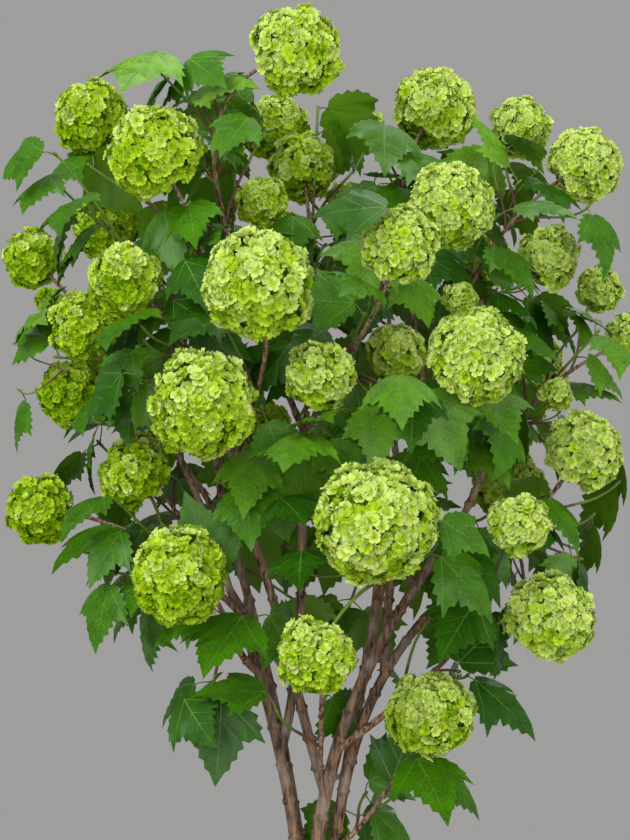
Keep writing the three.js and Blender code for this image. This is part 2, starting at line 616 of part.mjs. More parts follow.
// Each piece of bare wood is cut clear of all that were placed before it.
let fatWood = rootCrownSolid(CLEARANCE);
function placeWood(name, limb, to, kind, look) {
  const shape = { to, sides: SIDES[kind], steps: STEPS[kind] };
  place(name, largest(limbSolid(limb, shape).subtract(fatWood)), look);
  fatWood = fatWood.add(limbSolid(limb, { ...shape, extra: CLEARANCE }));
}

place("root_crown", rootCrownSolid(), oldBark);
for (const [name, stem] of stems) placeWood(name, stem, 1, "stem", stemBark);
for (const mass of masses) placeWood(`bough_${mass.name}`, mass.leader, mass.bare, "bough", boughBark);

// The twigs and heads of every mass, then the leaves, the furthest out first.
const limbs = [{ mass: null, solid: fatWood, box: fatWood.boundingBox() }];
for (const mass of masses) {
  const add = (solid, limb) => limbs.push({ mass, limb, solid, box: solid.boundingBox() });
  const addLimb = (limb, kind, from = 0) =>
    add(limbSolid(limb, { from, sides: SIDES[kind], steps: STEPS[kind] }), limb);
  addLimb(mass.leader, "leader", mass.bare + (CLEARANCE + 0.02) / mass.leader.length);
  for (const twig of mass.twigs) addLimb(twig, "twig");
  for (const spray of mass.leafy) addLimb(spray, "spray");
  for (const ball of mass.balls) add(headSolid(ball, mass.random));
}
const distanceOut = ({ petioleEnd }) => petioleEnd.distanceTo(SPACE_MIDDLE);
const candidates = masses.flatMap(candidatesOf).sort((a, b) => distanceOut(b) - distanceOut(a));
const placed = [];
for (const leaf of candidates) keepIfClear(leaf, placed, limbs);

// A spray that kept no leaf is left out.
for (const mass of masses) {
  const bare = mass.leafy.filter((spray) => !mass.inLeaf.has(spray));
  const own = limbs.filter(({ mass: owner, limb }) => owner === mass && !bare.includes(limb));
  const pieces = [...own.map(({ solid }) => solid), ...mass.leaves];
  place(`mass_${mass.name}`, largest(joined(pieces).subtract(fatWood)), foliage);
}

export default group;
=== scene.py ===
"""Snowball viburnum: the looks of a young many-stemmed shrub in flower, built round its fixed solids.

The growth rule is the solids' own, in millimetres: stems rise from a root crown, boughs leave them, and
each bough runs on as the leader of a mass, with twigs that end in flower heads, leafy sprays and opposite
pairs of leaves. Here the same limbs carry finer sprays, cut leaves with veins, and heads made of florets.
"""
import math

import bpy
import numpy as np
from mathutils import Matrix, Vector, noise
from mathutils.bvhtree import BVHTree
from mathutils.geometry import delaunay_2d_cdt


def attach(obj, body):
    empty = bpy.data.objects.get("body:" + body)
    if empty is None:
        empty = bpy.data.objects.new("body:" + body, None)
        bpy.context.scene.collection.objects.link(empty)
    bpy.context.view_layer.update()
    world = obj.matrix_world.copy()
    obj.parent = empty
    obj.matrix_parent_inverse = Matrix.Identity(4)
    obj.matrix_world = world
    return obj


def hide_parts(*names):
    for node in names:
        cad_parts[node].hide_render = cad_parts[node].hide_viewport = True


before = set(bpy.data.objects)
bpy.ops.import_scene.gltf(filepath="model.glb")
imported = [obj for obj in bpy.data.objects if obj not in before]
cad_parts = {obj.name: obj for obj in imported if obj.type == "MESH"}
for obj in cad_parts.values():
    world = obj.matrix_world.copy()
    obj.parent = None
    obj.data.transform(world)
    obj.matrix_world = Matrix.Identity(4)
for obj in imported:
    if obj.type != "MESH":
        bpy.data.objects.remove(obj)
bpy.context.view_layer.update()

bl_info = {
    "name": "Snowball Viburnum",
    "version": (1, 0, 0),
    "blender": (4, 5, 0),
    "location": "3D View > Sidebar > Viburnum",
    "description": "Bark, leaves and flower heads of a snowball viburnum",
    "category": "Add Mesh",
}

MM = 0.001

# ------------------------------------------------------------------ driving sizes, in millimetres
SPACE_MIDDLE = np.array([-2.0, 0.0, 430.0])
SPACE = {"width": 246, "depth": 208, "above": 285, "below": 395, "steep_top": 5, "steep_foot": 2.2}
ROOT_CROWN = {"foot_radius": 25, "top_radius": 14, "height": 42}
ROOT_CROWN_FLARE = [(0.55, 0.18), (0.15, 0.5), (0.0, 0.86)]  # how wide it still is, and how far up
STEM_FOOT = 17
KEEP_OFF = 0.8  # how far a leaf keeps clear of what is near it
ROOM = 4.1  # how far a leafy spray does
LOWEST_LEAF = 40

STEPS = {"stem": 6, "bough": 3, "leader": 4, "twig": 3, "spray": 2}
# The straight lengths that stand for each limb when clearances are measured.
LENGTHS = {"stem": 8, "bough": 5, "leader": 8, "twig": 6}
PULL = 0.36  # how far a limb keeps the way it starts and ends, as a share of its span
BOUGH_RADIUS = 3.0
BOUGH_SHARE = 0.86
STALK_RADIUS = 1.3
TWIG_RADIUS = 1.6
TWIG_SHARE = 0.62
SPRAY_RADII = [1.3, 1.0]
STALK_SUNK = 0.55

FORK_ANGLE = 42
FORK_REACH = 0.12
FIRST_FORK = 0.04
LAST_FORK = 0.8
FORK_STEP = 0.02
TWIG_FOLLOWS = 0.7
BOUGH_FOLLOWS = 0.55
HEAD_LEANS = 0.75
SPRAY_LEANS = 1.0
HEAD_LUMP = 0.04
SMALL_HEAD = 18
HEAD_CORNERS = {"small": 12, "large": 42}  # of the balls in the solids, each with a draw of its own

SPRAYS_TRIED = 3
SPRAY_LENGTH = [42, 74]
SPRAY_BEND = 0.5
SPRAY_FORKS = {"after_bare": 0.08, "on_twig": 0.15, "last": 0.7}

LEAF = {
    "length": 59, "spread": 12, "petiole": 13, "petiole_spread": 0.25, "sunk": 0.4,
    "forward": 0.5, "spreads": 0.4, "droop": [0.4, 1.3], "looks_out": 0.7, "roll": 0.25,
}
PAIR_SPACING = 30
PAIR_SPREAD = 0.15
PAIR_BELOW_HEAD = 8
PAIR_ABOVE_FORK = 11
PAIR_AT_TIP = 1
FINE_SEEDS = 100  # the draws of the finer sprays have seeds of their own from here on

# name, foot or (stem, share), tip, radii, the way it points at both ends
STEMS = [
    ("stem_left", [-9, -3], [-66, -12, 272], [4.7, 3.2], [[-0.1, 0, 1], [-0.36, 0, 0.93]]),
    ("stem_middle", [-2, -9], [104, -22, 318], [6.0, 3.1], [[-0.05, 0, 1], [0.62, 0, 0.78]]),
    ("stem_right", [10, 1], [116, -14, 282], [4.8, 3.0], [[0, 0, 1], [0.82, 0, 0.57]]),
    ("stem_back_left", [-7, 9], [-72, 74, 322], [4.8, 3.1], [[-0.1, 0.1, 1], [-0.3, 0.3, 1]]),
    ("stem_back_right", [6, 10], [64, 88, 338], [4.8, 3.1], [[0.1, 0.1, 1], [0.2, 0.3, 1]]),
    ("stem_centre", ("stem_left", 0.5), [-11, 12, 388], [3.7, 3.0], [[0.25, 0.05, 1], [0.03, 0.1, 1]]),
    ("stem_cross", ("stem_middle", 0.31), [-62, -44, 345], [3.9, 2.9],
     [[-0.3, -0.1, 1], [-0.4, -0.15, 0.9]]),
    ("stem_inner", ("stem_right", 0.66), [82, 8, 372], [3.6, 2.9], [[0.02, 0.05, 1], [0.4, 0.05, 0.9]]),
]


def bough(name, stem, at, bare, heads, sprays=(), lean=None, tip=None, region="top"):
    """A bough: its stem and where it leaves it, the share that is bare, and what it carries."""
    return {"name": name, "stem": stem, "at": at, "bare": bare, "heads": heads, "sprays": sprays,
            "lean": lean, "tip": tip, "region": region}


# A head is [across, back, up, diameter], with the way it looks where that isn't up and out.
BOUGHS = [
    bough("crest", "stem_centre", 1, 0.4, [[-17, -40, 667, 72, [0.85, -0.15, 0.35]]],
          [[-106, -18, 655], [-62, 14, 646], [-100, 12, 604]], lean=[-0.35, -0.1, 0.94]),
    bough("upper_left", "stem_back_left", 1, 0.45,
          [[-119, -70, 590, 73], [-172, 20, 627, 62], [-111, 100, 523, 22]], [[-196, -30, 575]]),
    bough("upper_middle", "stem_centre", 0.93, 0.42,
          [[-12, 50, 592, 57], [43, 140, 633, 29], [22, 112, 573, 32], [-42, 8, 562, 42]],
          lean=[0.1, 0.35, 1]),
    bough("upper_right", "stem_inner", 0.9, 0.4, [[91, 70, 640, 70], [95, -60, 552, 68]], [[56, 20, 600]]),
    bough("right_crest", "stem_inner", 1, 0.42,
          [[205, 50, 594, 62, [0.84, 0.1, 0.53]], [160, 90, 627, 52], [177, 40, 522, 52]],
          [[150, 30, 580]], lean=[0.15, 0.15, 1]),
    bough("right_side", "stem_middle", 1, 0.4,
          [[242, 60, 460, 43, [0.9, 0, 0.42]], [226, 120, 502, 40], [178, -5, 416, 26]],
          [[214, 70, 440], [176, 60, 458], [205, 20, 405]], lean=[0.4, 0.15, 0.9], region="right"),
    bough("right_middle", "stem_inner", 0.8, 0.36,
          [[110, -110, 442, 73], [58, -20, 446, 49], [105, -22, 486, 29]], [[150, -60, 430]],
          lean=[0.35, -0.6, 0.7], region="right"),
    bough("right_low", "stem_right", 1, 0.3,
          [[196, -30, 374, 62], [142, -100, 323, 47], [166, -80, 257, 69]],
          [[205, -40, 315], [150, -40, 250], [212, 10, 332]], region="right"),
    bough("right_foot", "stem_middle", 0.42, 0.3, [[82, -62, 185, 66, [0.2, -0.9, -0.2]]],
          [[92, -40, 246], [128, 40, 212]], lean=[0.75, -0.35, 0.6], tip=[122, 4, 248], region="foot"),
    bough("low_shoot", "stem_right", 0.2, 0.2, [], [[58, -6, 118], [36, -48, 122]],
          lean=[0.7, -0.5, 0.6], tip=[62, -34, 142], region="foot"),
    bough("inner_shoot", "stem_cross", 0.08, 0.2, [], [[-20, -62, 175]],
          lean=[0.1, -0.7, 0.7], tip=[3, -52, 206], region="foot"),
    bough("front_low", "stem_middle", 0.84, 0.35,
          [[38, -170, 328, 88, [-0.2, -0.9, 0.35]], [-2, -150, 237, 59, [-0.5, -0.15, -0.85]]],
          [[78, -120, 275], [-12, -108, 296]], lean=[-0.3, -1, 0.2], region="front"),
    bough("front_middle", "stem_centre", 0.95, 0.35, [[56, -132, 518, 58], [2, -120, 429, 53]],
          [[72, -120, 425]], lean=[0.2, -0.8, 0.8], region="front"),
    bough("front_left", "stem_cross", 1, 0.28, [[-41, -150, 490, 82], [-80, -140, 408, 78]],
          [[-34, -110, 362], [-104, -90, 356]], lean=[0, -0.7, 0.8], region="front"),
    bough("left_middle", "stem_cross", 0.9, 0.42, [[-138, -80, 497, 57, [-0.7, -0.3, 0.6]]],
          [[-118, -40, 545]], lean=[-0.2, -0.1, 1], region="left"),
    bough("left_side", "stem_left", 1, 0.4,
          [[-217, 30, 520, 49, [-0.7, 0.1, 0.7]], [-171, -40, 467, 56], [-213, 90, 492, 22],
           [-191, 50, 418, 54]], [[-228, 10, 446]], lean=[-0.3, 0.1, 1], region="left"),
    bough("left_low", "stem_cross", 0.36, 0.38,
          [[-208, 10, 330, 57, [-1, 0, 0.15]], [-136, -20, 357, 55]],
          [[-176, -50, 300], [-150, 30, 275]], lean=[-0.5, -0.35, 0.8], region="left"),
    bough("left_foot", "stem_left", 0.75, 0.36, [[-98, -110, 289, 73, [-0.5, -0.8, 0.25]]],
          [[-70, -60, 216], [-40, -100, 270]], lean=[-0.5, -0.8, 0.4], region="left"),
]

# The far side: heads spread by the golden angle over the back of an ellipsoid, each on the nearest bough.
BACK_BOUGHS = [
    ("back_high", "stem_back_right", 0.92, [10, 150, 590]),
    ("back_left", "stem_back_left", 0.9, [-130, 130, 500]),
    ("back_right", "stem_back_right", 1, [130, 150, 490]),
    ("back_low_left", "stem_back_left", 0.66, [-90, 150, 350]),
    ("back_low_right", "stem_back_right", 0.62, [90, 160, 350]),
]
BACK_MIDDLE = np.array([-2.0, 10.0, 455.0])
BACK_RADII = [205, 185, 205]
BACK_HEADS = 27
BACK_HEIGHTS = [0.93, -0.57]
BACK_BEARINGS = [18, 162]
BACK_DIAMETERS = [74, 58, 68, 50, 78, 62, 44]
BACK_GAP = 9
BACK_BARE = 0.42
GOLDEN = 0.618034

REGIONS = ["top", "left", "right", "front", "foot", "back"]

# ------------------------------------------------------------------ small helpers
UP = np.array([0.0, 0.0, 1.0])


def vec(numbers):
    return np.array(numbers, dtype=float)


def unit(vector):
    return vec(vector) / np.linalg.norm(vector)


def lerp(low, high, share):
    return low + (high - low) * share


def turned(vector, axis, angle):
    """A vector turned about a unit axis."""
    along = axis * np.dot(axis, vector)
    return vector * math.cos(angle) + np.cross(axis, vector) * math.sin(angle) + along * (1 - math.cos(angle))


def evenly(low, high, steps):
    return [low + (high - low) * i / steps for i in range(steps + 1)]


def outward(point):
    """The level direction from the crown's axis out through a point."""
    away = vec([point[0] - SPACE_MIDDLE[0], point[1] - SPACE_MIDDLE[1], 0])
    return unit(away) if np.linalg.norm(away) > 1 else vec([0, -1, 0])


def up_and_out(point, spread):
    return unit(outward(point) * spread + UP)


def in_space(points, spare=0.0):
    """Whether all points are within the crown's space, or this share of its width beyond it."""
    x, y, z = (points - SPACE_MIDDLE).T
    above = (np.maximum(z, 0) / SPACE["above"]) ** SPACE["steep_top"]
    below = (np.maximum(-z, 0) / SPACE["below"]) ** SPACE["steep_foot"]
    return (np.hypot(x / SPACE["width"], y / SPACE["depth"]) < 1 + spare - above - below).all()


class Dice:
    """The same draws for the same seed, each from 0 to 1."""

    def __init__(self, seed):
        self.state = seed * 7919 + 17

    def draw(self):
        self.state = self.state * 16807 % 2147483647
        return self.state / 2147483647

    def between(self, low, high):
        return lerp(low, high, self.draw())

    def either_way(self):
        return 2 * self.draw() - 1

    def skip(self, count):
        for _ in range(count):
            self.draw()


class Limb:
    """A tapering limb along a smooth curve, made in straight steps between its bends."""

    SAMPLES = np.linspace(0, 1, 201)

    def __init__(self, start, start_way, end, end_way, radii, bends):
        pull = np.linalg.norm(end - start) * PULL
        self.controls = [start, start + start_way * pull, end - end_way * pull, end]
        self.radii = radii
        self.bends = bends
        samples = self.curve(self.SAMPLES)
        steps = np.linalg.norm(np.diff(samples, axis=0), axis=1)
        self.reached = np.concatenate([[0], np.cumsum(steps)])
        self.length = self.reached[-1]

    def curve(self, t):
        a, b, c, d = self.controls
        t = np.asarray(t)[..., None]
        return a * (1 - t) ** 3 + b * 3 * t * (1 - t) ** 2 + c * 3 * t**2 * (1 - t) + d * t**3

    def parameter(self, share):
        return np.interp(np.asarray(share) * self.length, self.reached, self.SAMPLES)

    def point(self, share):
        return self.curve(self.parameter(share))

    def way(self, share):
        a, b, c, d = self.controls
        t = np.asarray(self.parameter(share))[..., None]
        slope = (b - a) * (1 - t) ** 2 + (c - b) * 2 * t * (1 - t) + (d - c) * t**2
        return slope / np.linalg.norm(slope, axis=-1, keepdims=True)

    def axis(self, share):
        """The point of the straight step at a share of the length."""
        after = next(i for i, bend in enumerate(self.bends) if bend >= share)
        low, high = self.bends[max(1, after) - 1], self.bends[max(1, after)]
        return lerp(self.point(low), self.point(high), (share - low) / (high - low))

    def radius(self, share):
        return lerp(self.radii[0], self.radii[1], share)

    def lengths(self, low, high, count):
        """Short straight lengths that stand for the limb when clearances are measured."""
        cuts = evenly(low, high, count)
        return [(self.point(a), self.point(b), self.radius(a)) for a, b in zip(cuts, cuts[1:])]


def least_gap(point, pieces):
    """How far a point is from the nearest of some straight lengths or balls."""
    starts, ends, radii = pieces
    along = ends - starts
    squared = np.maximum(np.einsum("ij,ij->i", along, along), 1e-9)
    share = np.clip(np.einsum("ij,ij->i", point - starts, along) / squared, 0, 1)
    nearest = starts + along * share[:, None]
    return (np.linalg.norm(nearest - point, axis=1) - radii).min()


def as_pieces(lengths):
    starts, ends, radii = zip(*lengths)
    return np.array(starts), np.array(ends), np.array(radii)


# ------------------------------------------------------------------ the growth rule
def grow_stems():
    stems = {}
    for name, foot, tip, radii, ways in STEMS:
        forked = isinstance(foot, tuple)
        start = stems[foot[0]].axis(foot[1]) if forked else vec([*foot, STEM_FOOT])
        stems[name] = Limb(start, unit(ways[0]), vec(tip), unit(ways[1]), radii, evenly(0, 1, STEPS["stem"]))
    return stems


def fork_share(leader, bare, target):
    """Where a twig to this point leaves the leader, so that it makes the angle of a natural fork."""
    best_share, best_cost = bare, math.inf
    share = bare + FIRST_FORK
    while share <= LAST_FORK:
        to_target = target - leader.point(share)
        reach = np.linalg.norm(to_target)
        turn = float(np.clip(np.dot(leader.way(share), to_target) / reach, -1, 1))
        cost = abs(math.degrees(math.acos(turn)) - FORK_ANGLE) + reach * FORK_REACH
        if cost < best_cost:
            best_share, best_cost = share, cost
        share += FORK_STEP
    return best_share


def grow_twig(leader, bare, target, end_way, radii, steps):
    share = fork_share(leader, bare, target)
    root = leader.axis(share)
    way = unit(unit(target - root) + leader.way(share) * TWIG_FOLLOWS)
    radii = [min(radii[0], TWIG_SHARE * leader.radius(share)), radii[1]]
    return Limb(root, way, target, end_way, radii, evenly(0, 1, steps))


class Ball:
    """A flower head: its middle, its radius and the way it looks."""

    def __init__(self, x, y, z, diameter, way=None):
        self.middle = vec([x, y, z])
        self.radius = diameter / 2
        self.way = unit(way) if way else up_and_out(self.middle, HEAD_LEANS)

    def sunk(self):
        return self.middle - self.way * self.radius * STALK_SUNK


class Mass:
    """A bough and the mass that it carries: one leader, its twigs, leafy sprays and flower heads."""

    def __init__(self, record, index, stems):
        self.name = record["name"]
        self.region = record["region"]
        self.bare = bare = record["bare"]
        self.dice = Dice(index + 1)
        self.fine_dice = Dice(index + 1 + FINE_SEEDS)
        self.balls = [Ball(*head) for head in record["heads"]]
        stem, at, tip = stems[record["stem"]], record["at"], record["tip"]
        start = stem.axis(at)
        end = vec(tip) if tip else self.balls[0].sunk()
        start_way = unit(record["lean"] or lerp(unit(end - start), stem.way(at), BOUGH_FOLLOWS))
        end_way = up_and_out(end, HEAD_LEANS) if tip else self.balls[0].way
        radii = [min(stem.radius(at) * BOUGH_SHARE, BOUGH_RADIUS), STALK_RADIUS]
        bends = evenly(0, bare, STEPS["bough"]) + evenly(bare, 1, STEPS["leader"])[1:]
        self.leader = Limb(start, start_way, end, end_way, radii, bends)
        carried = self.balls if tip else self.balls[1:]
        self.twigs = [
            grow_twig(self.leader, bare, ball.sunk(), ball.way, [TWIG_RADIUS, STALK_RADIUS], STEPS["twig"])
            for ball in carried
        ]
        self.sprays = [self.spray_to(vec(tip)) for tip in record["sprays"]]
        self.headed = ([] if tip else [(self.leader, self.balls[0])]) + list(zip(self.twigs, carried))
        self.wood = self.leader.lengths(bare, 1, LENGTHS["leader"])
        for twig in self.twigs + self.sprays:
            self.wood += twig.lengths(0, 1, LENGTHS["twig"])
        self.leaves, self.fine_sprays = [], []

    def spray_to(self, tip):
        way = up_and_out(tip, SPRAY_LEANS)
        return grow_twig(self.leader, self.bare, tip, way, SPRAY_RADII, STEPS["spray"])

    def limbs(self):
        return [self.leader, *self.twigs, *self.sprays]

    def heads(self):
        return [(ball.middle, ball.middle, ball.radius * (1 + HEAD_LUMP)) for ball in self.balls]


def back_records(taken):
    """The boughs of the far side, each with the heads whose middles are nearest to its aim."""
    records = [bough(name, stem, at, BACK_BARE, [], region="back") for name, stem, at, _ in BACK_BOUGHS]
    aims = [vec(aim) for *_, aim in BACK_BOUGHS]
    for i in range(BACK_HEADS):
        height = lerp(*BACK_HEIGHTS, (i + 0.5) / BACK_HEADS)
        bearing = math.radians(lerp(*BACK_BEARINGS, (i * GOLDEN) % 1))
        waist = math.sqrt(1 - height * height)
        way = vec([math.cos(bearing) * waist, math.sin(bearing) * waist, height])
        middle = np.floor(way * BACK_RADII + 0.5) + BACK_MIDDLE
        diameter = BACK_DIAMETERS[i % len(BACK_DIAMETERS)]
        if any(np.linalg.norm(at - middle) < radius + diameter / 2 + BACK_GAP for at, radius in taken):
            continue
        taken.append((middle, diameter / 2))
        nearest = min(range(len(aims)), key=lambda k: np.linalg.norm(aims[k] - middle))
        records[nearest]["heads"].append([*middle, diameter])
    for record, aim in zip(records, aims):
        record["heads"].sort(key=lambda head: np.linalg.norm(vec(head[:3]) - aim))
    return records


def grow_spray(mass, dice, carriers, others, lengths=SPRAY_LENGTH):
    """A flowerless spray leaves a limb wherever the draw puts it, if there is room for it."""
    carrier = carriers[int(dice.draw() * len(carriers))]
    lowest = mass.bare + SPRAY_FORKS["after_bare"] if carrier is mass.leader else SPRAY_FORKS["on_twig"]
    share = lerp(lowest, SPRAY_FORKS["last"], dice.draw())
    along = carrier.way(share)
    turn = dice.draw() * 2 * math.pi
    length = dice.between(*lengths)
    root = carrier.axis(share)
    side = turned(unit(np.cross(along, UP)), along, turn)
    way = unit(along + side)
    tip = root + unit(way + outward(root) * SPRAY_BEND) * length
    radii = [min(SPRAY_RADII[0], TWIG_SHARE * carrier.radius(share)), SPRAY_RADII[1]]
    radii[1] = min(radii[1], radii[0])
    spray = Limb(root, way, tip, up_and_out(tip, SPRAY_LEANS), radii, evenly(0, 1, STEPS["spray"]))
    points = [spray.point(at) for at in evenly(0.2, 1, 5)]
    roomy = in_space(np.array(points)) and all(least_gap(point, others) > ROOM for point in points)
    return spray if roomy else None


class Leaf:
    """A leaf's place: its root in the twig, the end of its petiole, and the blade's own directions."""

    def __init__(self, mass, limb, root, petiole_end, along, across, length, out, roll):
        self.mass, self.limb = mass, limb
        self.root, self.petiole_end = root, petiole_end
        self.along, self.across = along, across
        self.face = np.cross(along, across)
        self.length = length
        self.out = out
        self.roll = roll

    def face_light(self):
        """Turns the blade about its length until it faces the light on its half of the crown."""
        x, y, z = self.petiole_end
        lifted = UP + outward([x, y - FACES_FROM if y < FRONT_HALF else y + FACES_FROM, z]) * FACES_LIGHT
        self.across = turned(unit(np.cross(lifted, self.along)), self.along, self.roll)
        self.face = np.cross(self.along, self.across)

    def at(self, x, y, drop):
        """A point of the blade, in shares of its length: along, across and down from its face."""
        return self.petiole_end + (self.along * x + self.across * y - self.face * drop) * self.length


def pairs_of(mass, limb, low, tip, dice, size=1.0, spacing=PAIR_SPACING):
    """Opposite pairs, each turned a quarter from the last, which hang from their petioles."""
    start_way = limb.way(0.5)
    sideways = unit(np.cross(start_way, UP))
    twist = dice.draw() * math.pi
    leaves = []
    pair = 0
    reach = tip
    while reach > low:
        share = reach / limb.length
        twig_point, way = limb.axis(share), limb.way(share)
        aside = turned(sideways, start_way, twist + pair * math.pi / 2)
        pair += 1
        for side in (1, -1):
            out = unit(aside * side + way * LEAF["forward"])
            length = (LEAF["length"] + LEAF["spread"] * dice.either_way()) * size
            droop = dice.between(*LEAF["droop"])
            petiole = LEAF["petiole"] * (1 + LEAF["petiole_spread"] * dice.either_way())
            roll = LEAF["roll"] * dice.either_way()
            root = twig_point - out * LEAF["sunk"] * limb.radius(share)
            petiole_end = twig_point + out * (limb.radius(share) + petiole)
            away = outward(petiole_end)
            along = unit(out + away * LEAF["spreads"] - UP * droop)
            lifted = UP + away * LEAF["looks_out"]
            across = turned(unit(np.cross(lifted, along)), along, roll)
            leaves.append(Leaf(mass, limb, root, petiole_end, along, across, length, out, roll))
        reach -= spacing * (1 + PAIR_SPREAD * dice.either_way())
    return leaves


def candidates_of(mass):
    """The pairs of leaves on every limb of a mass that the solids try too."""
    def lowest(limb):
        return PAIR_ABOVE_FORK + (mass.bare * limb.length if limb is mass.leader else 0)

    placed = [
        (limb, limb.length - ball.radius * (1 - STALK_SUNK) - PAIR_BELOW_HEAD) for limb, ball in mass.headed
    ]
    led_by_head = any(limb is mass.leader for limb, _ in mass.headed)
    flowerless = mass.sprays if led_by_head else [mass.leader, *mass.sprays]
    placed += [(limb, limb.length - PAIR_AT_TIP) for limb in flowerless]
    return [leaf for limb, tip in placed for leaf in pairs_of(mass, limb, lowest(limb), tip, mass.dice)]


# ------------------------------------------------------------------ the blade of a leaf, modelled once
# One side of its edge from the petiole round to the tip: along the blade, across it and up from it, in
# shares of its length. Teeth point down a little and the notches between them stand up.
LEAF_EDGE = [
    (-0.03, 0.09, 0.0), (0.015, 0.225, -0.006), (0.075, 0.235, 0.01), (0.105, 0.335, -0.008),
    (0.17, 0.335, 0.011), (0.21, 0.425, -0.01), (0.28, 0.412, 0.011), (0.345, 0.485, -0.012),
    (0.385, 0.455, 0.007), (0.505, 0.525, -0.03), (0.475, 0.40, 0.011), (0.52, 0.345, -0.006),
    (0.505, 0.262, 0.019), (0.585, 0.285, -0.013), (0.625, 0.218, 0.012), (0.705, 0.220, -0.013),
    (0.74, 0.155, 0.011), (0.82, 0.142, -0.013), (0.855, 0.088, 0.008),
]
LEAF_TIP = (1.0, 0.0, -0.05)
MIDRIB = [(0.0, 0.0, 0.0), (0.27, 0.0, -0.030), (0.50, 0.0, -0.037), (0.72, 0.0, -0.034)]
SIDE_VEIN = (0.27, 0.27, -0.036)  # halfway from the petiole to the tip of the side lobe
SWELLINGS = [(0.31, 0.13, 0.052), (0.55, 0.11, 0.046)]  # between the veins
LOBE_TIP = 9  # where in the edge these teeth are
UPPER_TOOTH = 13
LAST_TOOTH = 15
VEIN_LIFT = 0.006
VEIN_WIDTHS = {"midrib": 0.017, "side": 0.013, "small": 0.009}
LEAF_DROP = {"along": 0.18, "across": 0.42}  # how far the blade bends down, by the square of each


def mirrored(points):
    return [(x, -y, z) for x, y, z in points]


def vein_strip(points, width):
    """A raised strip that tapers to nothing along some points of the blade."""
    line = vec(points) + [0, 0, VEIN_LIFT]
    run = unit([line[-1][0] - line[0][0], line[-1][1] - line[0][1], 0])
    aside = np.array([-run[1], run[0], 0]) * width / 2
    spots = [line[0] - aside, line[0] + aside]
    faces = []
    for i, spot in enumerate(line[1:-1], start=1):
        narrow = 1 - i / len(line)
        spots += [spot - aside * narrow, spot + aside * narrow]
        low = 2 * i - 2
        faces += [(low, low + 2, low + 3), (low, low + 3, low + 1)]
    spots.append(line[-1])
    faces.append((len(spots) - 3, len(spots) - 1, len(spots) - 2))
    return np.array(spots), np.array(faces)


def gathered(shapes):
    """The points of some shapes, and their triangles counted on from shape to shape."""
    points, faces = zip(*shapes)
    starts = np.cumsum([0, *map(len, points)])
    return np.concatenate(points), np.concatenate([some + start for some, start in zip(faces, starts)])


def leaf_template():
    """The blade and its veins: points, triangles, and which triangles are veins."""
    edge = [MIDRIB[0], *LEAF_EDGE, LEAF_TIP, *reversed(mirrored(LEAF_EDGE))]
    inner = [*MIDRIB[1:], SIDE_VEIN, *mirrored([SIDE_VEIN]), *SWELLINGS, *mirrored(SWELLINGS)]
    points = edge + inner
    tip = len(LEAF_EDGE) + 1
    rib = [0, len(edge), len(edge) + 1, len(edge) + 2, tip]
    folds = list(zip(rib, rib[1:]))
    for side, vein in ((lambda k: k + 1, len(edge) + 3), (lambda k: len(edge) - 1 - k, len(edge) + 4)):
        folds += [(0, vein), (vein, side(LOBE_TIP))]
        folds += [(rib[1], side(UPPER_TOOTH)), (rib[2], side(LAST_TOOTH))]
    flat = [Vector(point[:2]) for point in points]
    outline = [list(range(len(edge)))]
    cut = delaunay_2d_cdt(flat, folds, outline, 1, 1e-5)
    heights = [points[origins[0]][2] for origins in cut[3]]
    blade = np.array([(*spot, height) for spot, height in zip(cut[0], heights)])
    faces = np.array(cut[2])
    corners = blade[faces]
    downward = np.cross(corners[:, 1] - corners[:, 0], corners[:, 2] - corners[:, 0])[:, 2] < 0
    faces[downward] = faces[downward][:, ::-1]

    strips = [vein_strip([*MIDRIB, LEAF_TIP], VEIN_WIDTHS["midrib"])]
    for flip in (list, mirrored):
        strips.append(vein_strip(flip([MIDRIB[0], SIDE_VEIN, LEAF_EDGE[LOBE_TIP]]), VEIN_WIDTHS["side"]))
        strips.append(vein_strip(flip([MIDRIB[1], LEAF_EDGE[UPPER_TOOTH]]), VEIN_WIDTHS["small"]))
        strips.append(vein_strip(flip([MIDRIB[2], LEAF_EDGE[LAST_TOOTH]]), VEIN_WIDTHS["small"]))
    points, triangles = gathered([(blade, faces), *strips])
    return points, triangles, np.arange(len(triangles)) >= len(faces)


# ------------------------------------------------------------------ a small flower, modelled once
# One petal: how far out each point is, how far round as a share of half a petal, and how high.
PETALS = 5
PETAL_POINTS = [
    (0.06, 0.0, -0.20), (0.60, -1.18, 0.10), (0.54, 0.0, -0.03), (0.60, 1.18, 0.12),
    (0.96, -0.70, 0.34), (1.0, 0.0, 0.20), (0.96, 0.70, 0.34),
]
PETAL_FACES = [(0, 3, 2), (0, 2, 1), (2, 3, 6), (2, 6, 5), (2, 5, 4), (2, 4, 1)]
PETAL_THROAT = [True, True, False, False, False, False]
FLOWER_KINDS = 5
FLOWER_SEED = 900
PETAL_REACH = (0.9, 1.06)
PETAL_WAVES = 0.16


def flower_templates():
    """Small flowers whose petals curl differently: points for each kind, one set of triangles."""
    shapes = []
    for kind in range(FLOWER_KINDS):
        dice = Dice(FLOWER_SEED + kind)
        spots = []
        for petal in range(PETALS):
            reach = dice.between(*PETAL_REACH)
            lift = PETAL_WAVES * dice.either_way()
            twist = PETAL_WAVES * dice.either_way()
            for out, round_share, rise in PETAL_POINTS:
                turn = 2 * math.pi * petal / PETALS + round_share * math.pi / PETALS
                height = rise + (lift + twist * round_share) * out
                spots.append((out * reach * math.cos(turn), out * reach * math.sin(turn), height))
        shapes.append(spots)
    size = len(PETAL_POINTS)
    faces = [[corner + petal * size for corner in face] for petal in range(PETALS) for face in PETAL_FACES]
    return np.array(shapes), np.array(faces), np.array(PETAL_THROAT * PETALS)


